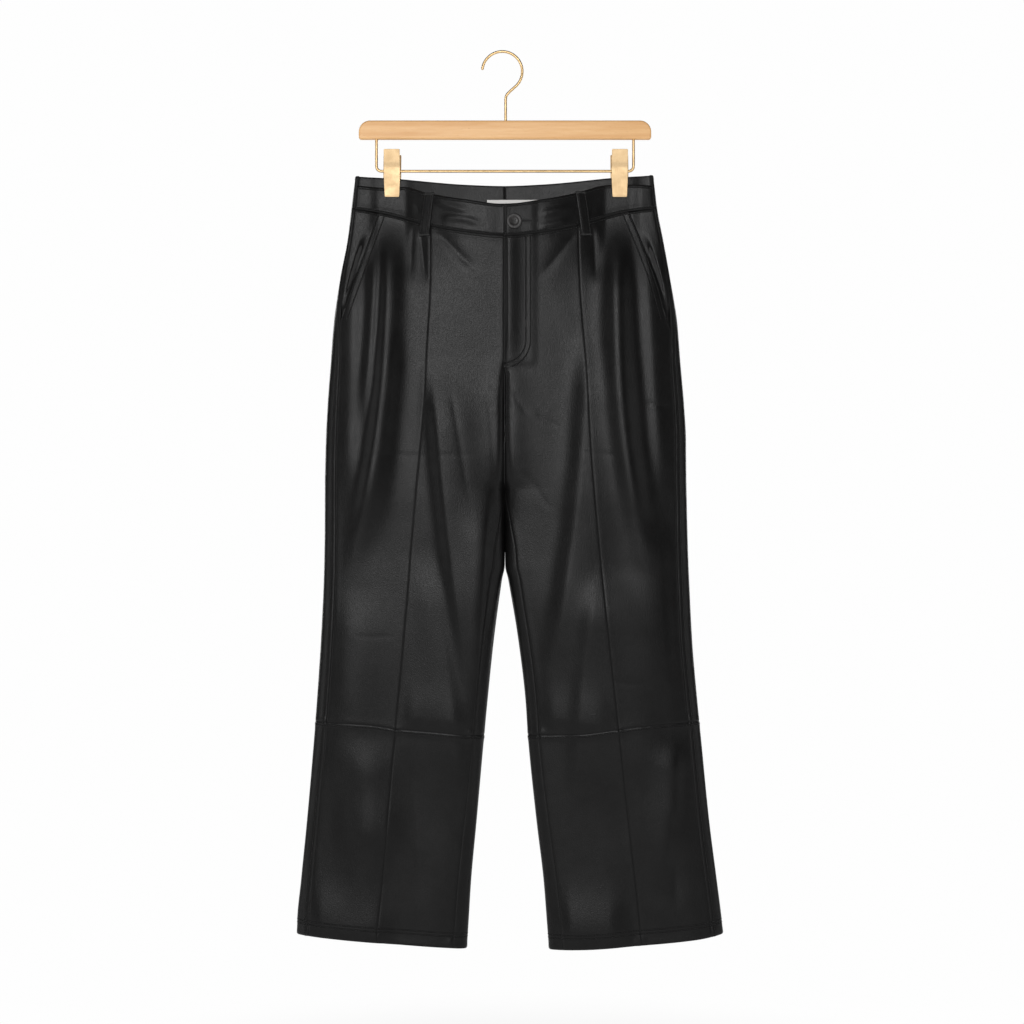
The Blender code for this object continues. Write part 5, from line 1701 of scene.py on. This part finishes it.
def rail():
    corner = WIRE_ARM_X - WIRE_BEND
    top = BAR_BOTTOM + BORE_DEPTH - 2
    path = [(-WIRE_ARM_X, 0.0, top), (-WIRE_ARM_X, 0.0, RAIL_Z + WIRE_BEND + 4)]
    path += arc((-corner, RAIL_Z + WIRE_BEND), WIRE_BEND, 180, 270, 14)
    path += [(-corner + 6, 0.0, RAIL_Z), (corner - 6, 0.0, RAIL_Z)]
    path += arc((corner, RAIL_Z + WIRE_BEND), WIRE_BEND, 270, 360, 14)
    path += [(WIRE_ARM_X, 0.0, RAIL_Z + WIRE_BEND + 4), (WIRE_ARM_X, 0.0, top)]
    return stand_in(wire("rail_wire", path, WIRE_RADIUS, wire_metal), "hanger_wire", slot="wire")


hook()
rail()
print("wires bent")

# %% Bar
BAR_LENGTH = 374.0
BAR_THICKNESS = 12.0
BAR_TOP_RADIUS, BAR_BOTTOM_RADIUS = 14.5, 3.0
BAR_EDGE = 2.2
EDGE_STEPS = 7


def bar():
    """Wooden bar with round shoulders, its long edges rounded over."""
    half = BAR_LENGTH / 2
    top, low = BAR_TOP_RADIUS, BAR_BOTTOM_RADIUS
    outline = arc((half - top, BAR_TOP - top), top, 90, 0, 22)
    outline += arc((half - low, BAR_BOTTOM + low), low, 0, -90, 9)
    outline += arc((-half + low, BAR_BOTTOM + low), low, 270, 180, 9)
    outline += arc((-half + top, BAR_TOP - top), top, 180, 90, 22)
    line = np.array(outline)[:, [0, 2]]
    tangent = np.roll(line, -1, axis=0) - np.roll(line, 1, axis=0)
    inward = np.stack([tangent[:, 1], -tangent[:, 0]], -1)
    inward /= np.linalg.norm(inward, axis=1, keepdims=True)
    turns = np.radians(np.linspace(0, 90, EDGE_STEPS))
    front = [(-BAR_THICKNESS / 2 + BAR_EDGE * (1 - math.sin(a)), BAR_EDGE * (1 - math.cos(a))) for a in turns]
    layers = [(y, drawn) for y, drawn in front[::-1]] + [(-y, drawn) for y, drawn in front]
    points = [(x, y, z) for y, drawn in layers for x, z in line + inward * drawn]
    count = len(line)
    faces = [tuple(range(count)), tuple(range(len(points) - count, len(points)))]
    for layer in range(len(layers) - 1):
        for k in range(count):
            a, b = layer * count + k, layer * count + (k + 1) % count
            faces.append((a, b, b + count, a + count))
    return stand_in(write_mesh("beech_bar", points, faces, [wood], 30.0), "hanger_bar", slot="wood")


bar()
print("bar", BAR_LENGTH, "mm long")

# %% Clips
CLIP_CENTRE = {"L": -144.5, "R": 146.7}
JAW_WIDTH = 20.5
JAW_SHEET = 1.2
JAW_TOP, JAW_BACK_TOP, JAW_BOTTOM = -124.3, -129.0, -184.6
GRIP = 2.8
SLEEVE_RADIUS = 4.2
Bend = namedtuple("Bend", "z out half_width")


def jaw(name, node, x, facing, top, width):
    """Pressed plate: a finger plate that leans out above the rail and a grip below it."""
    half = width / 2
    bends = (
        Bend(top, 10.5, half),
        Bend(-140.0, 7.2, half),
        Bend(RAIL_Z + 3, SLEEVE_RADIUS + GAP + 0.2, half),
        Bend(RAIL_Z - 3, SLEEVE_RADIUS + GAP, half),
        Bend(-163.0, 3.4, half),
        Bend(-170.0, GRIP, half - 0.3),
        Bend(-181.6, GRIP, half - 0.8),
        Bend(JAW_BOTTOM, GRIP + 0.3, half - 1.0),
    )
    z = np.linspace(top, JAW_BOTTOM, 61)[:, None]
    share = np.linspace(-1, 1, 13)[None, :]
    corner = 0.9
    near_end = np.minimum(top - z, z - JAW_BOTTOM)
    rounded = corner - np.sqrt(np.maximum(corner ** 2 - np.maximum(corner - near_end, 0) ** 2, 0))
    across = share * (smooth(bends, z, "half_width") - rounded)
    out = smooth(bends, z, "out") + 0 * share
    points = [np.stack([x + across, facing * (out + sheet), z + 0 * share], -1) for sheet in (JAW_SHEET, 0.0)]
    faces = np.concatenate(shell_faces(*across.shape))
    piece = write_mesh(name, np.concatenate([p.reshape(-1, 3) for p in points]), faces, [clip_brass], 40.0)
    edge = piece.modifiers.new("edge", "BEVEL")
    edge.width, edge.segments, edge.limit_method = 0.00028, 2, "ANGLE"
    edge.angle_limit = math.radians(50)
    applied(piece)
    piece.data.shade_smooth()
    return stand_in(piece, node, slot="clip_brass")


def spring(name, x):
    """Coil round the rail with a leg up to each plate."""
    turns, reach, span = 6, 3.2, 10.0
    angles = np.linspace(0.5 * math.pi, (2 * turns + 0.5) * math.pi, turns * 22)
    path = [(x - span / 2 + span * k / (len(angles) - 1), reach * math.cos(a), RAIL_Z + reach * math.sin(a))
            for k, a in enumerate(angles)]
    legs = [(x - span / 2, 5.6, RAIL_Z + 12.0), (x - span / 2, 4.0, RAIL_Z + 7.0)]
    ends = [(x + span / 2, -4.0, RAIL_Z + 7.0), (x + span / 2, -5.6, RAIL_Z + 12.0)]
    piece = wire(name, legs + path + ends, 0.6, wire_metal, 10)
    return stand_in(piece, f"clip_spring_{name[-1]}", slot="clip_brass")


for name, x in CLIP_CENTRE.items():
    jaw(f"front_plate_{name}", f"clip_jaw_front_{name}", x, -1, JAW_TOP, JAW_WIDTH)
    jaw(f"back_plate_{name}", f"clip_jaw_back_{name}", x, 1, JAW_BACK_TOP, JAW_WIDTH + 2.4)
    spring(f"coil_{name}", x)
print("clips at", tuple(CLIP_CENTRE.values()))

# %% [markdown]
# ## Studio
# The picture is a plain product shot: a white sweep, a wide soft light in front and little from the
# sides, which is what gives dark vinyl its grey sheen between black troughs. The sweep is a dome that
# only the camera sees, so that it doesn't flatten the cloth with light from all sides.

# %% Floor and sweep
FLOOR_Z = -1.35
SWEEP_WHITE = 0.99


def make_sweep():
    material = bpy.data.materials.new("white_sweep")
    material.use_nodes = True
    material.node_tree.nodes.clear()
    glow = add(material, "ShaderNodeEmission", Color=(1.0, 1.0, 1.0, 1.0), Strength=SWEEP_WHITE)
    add(material, "ShaderNodeOutputMaterial", Surface=glow.outputs[0])
    return material


def make_floor_material():
    material, shader = start_material("pale_floor", (0.86, 0.86, 0.86), 0.6)
    glow = add(material, "ShaderNodeEmission", Color=(1.0, 1.0, 1.0, 1.0), Strength=SWEEP_WHITE)
    place = add(material, "ShaderNodeTexCoord").outputs["Object"]
    away = add(material, "ShaderNodeVectorMath", {"operation": "LENGTH"}, i0=place).outputs["Value"]
    share = ranged(material, away, 0.2, 0.8, 0.8, 1.0, True)
    blend = add(material, "ShaderNodeMixShader", i0=share, i1=shader.outputs[0], i2=glow.outputs[0])
    output = next(n for n in material.node_tree.nodes if n.type == "OUTPUT_MATERIAL")
    material.node_tree.links.new(blend.outputs[0], output.inputs["Surface"])
    return material


def round_sheet(name, radius, material, segments=96):
    points = [(radius * math.cos(a), radius * math.sin(a), 0.0)
              for a in np.linspace(0, 2 * math.pi, segments, endpoint=False)]
    mesh = bpy.data.meshes.new(name)
    mesh.from_pydata(points, [], [tuple(range(segments))])
    mesh.materials.append(material)
    sheet = bpy.data.objects.new(name, mesh)
    bpy.context.scene.collection.objects.link(sheet)
    return sheet


def dome(radius, material):
    mesh = bpy.data.meshes.new("sweep")
    form = bmesh.new()
    bmesh.ops.create_icosphere(form, subdivisions=4, radius=radius)
    form.to_mesh(mesh)
    form.free()
    mesh.materials.append(material)
    shape = bpy.data.objects.new("sweep", mesh)
    bpy.context.scene.collection.objects.link(shape)
    shape.visible_diffuse = shape.visible_glossy = shape.visible_transmission = False
    shape.visible_volume_scatter = shape.visible_shadow = False
    return shape


floor = round_sheet("floor", 4.5, make_floor_material())
floor.location.z = FLOOR_Z
dome(9.0, make_sweep())
print("floor at", FLOOR_Z)

# %% Lights
Lamp = namedtuple("Lamp", "name x y z width height power")
LAMPS = (
    Lamp("front_softbox", -0.42, -3.4, 0.22, 1.4, 1.38, 85.0),
    Lamp("top_softbox", 0.1, -1.8, 2.4, 2.0, 1.2, 4.0),
    Lamp("side_softbox_left", -2.8, -0.8, -0.4, 0.7, 2.0, 15.0),
    Lamp("side_softbox_right", 2.8, -0.8, -0.4, 0.7, 2.0, 11.0),
    Lamp("back_softbox_left", -1.9, 3.0, 0.2, 1.4, 2.2, 40.0),
    Lamp("back_softbox_right", 1.9, 3.0, 0.2, 1.4, 2.2, 34.0),
)
AIM = Vector((0.0, 0.0, -0.6))
FILL = 0.05

for lamp in LAMPS:
    light = bpy.data.lights.new(lamp.name, "AREA")
    light.shape, light.size, light.size_y, light.energy = "RECTANGLE", lamp.width, lamp.height, lamp.power
    stand = bpy.data.objects.new(lamp.name, light)
    bpy.context.scene.collection.objects.link(stand)
    stand.location = (lamp.x, lamp.y, lamp.z)
    stand.rotation_euler = (AIM - stand.location).to_track_quat("-Z", "Y").to_euler()
    stand.visible_camera = False

world = bpy.data.worlds.new("studio")
world.use_nodes = True
world.node_tree.nodes["Background"].inputs["Color"].default_value = (1.0, 1.0, 1.0, 1.0)
world.node_tree.nodes["Background"].inputs["Strength"].default_value = FILL
bpy.context.scene.world = world
bpy.context.scene.view_settings.view_transform = "Standard"
print("lamps:", len(LAMPS))
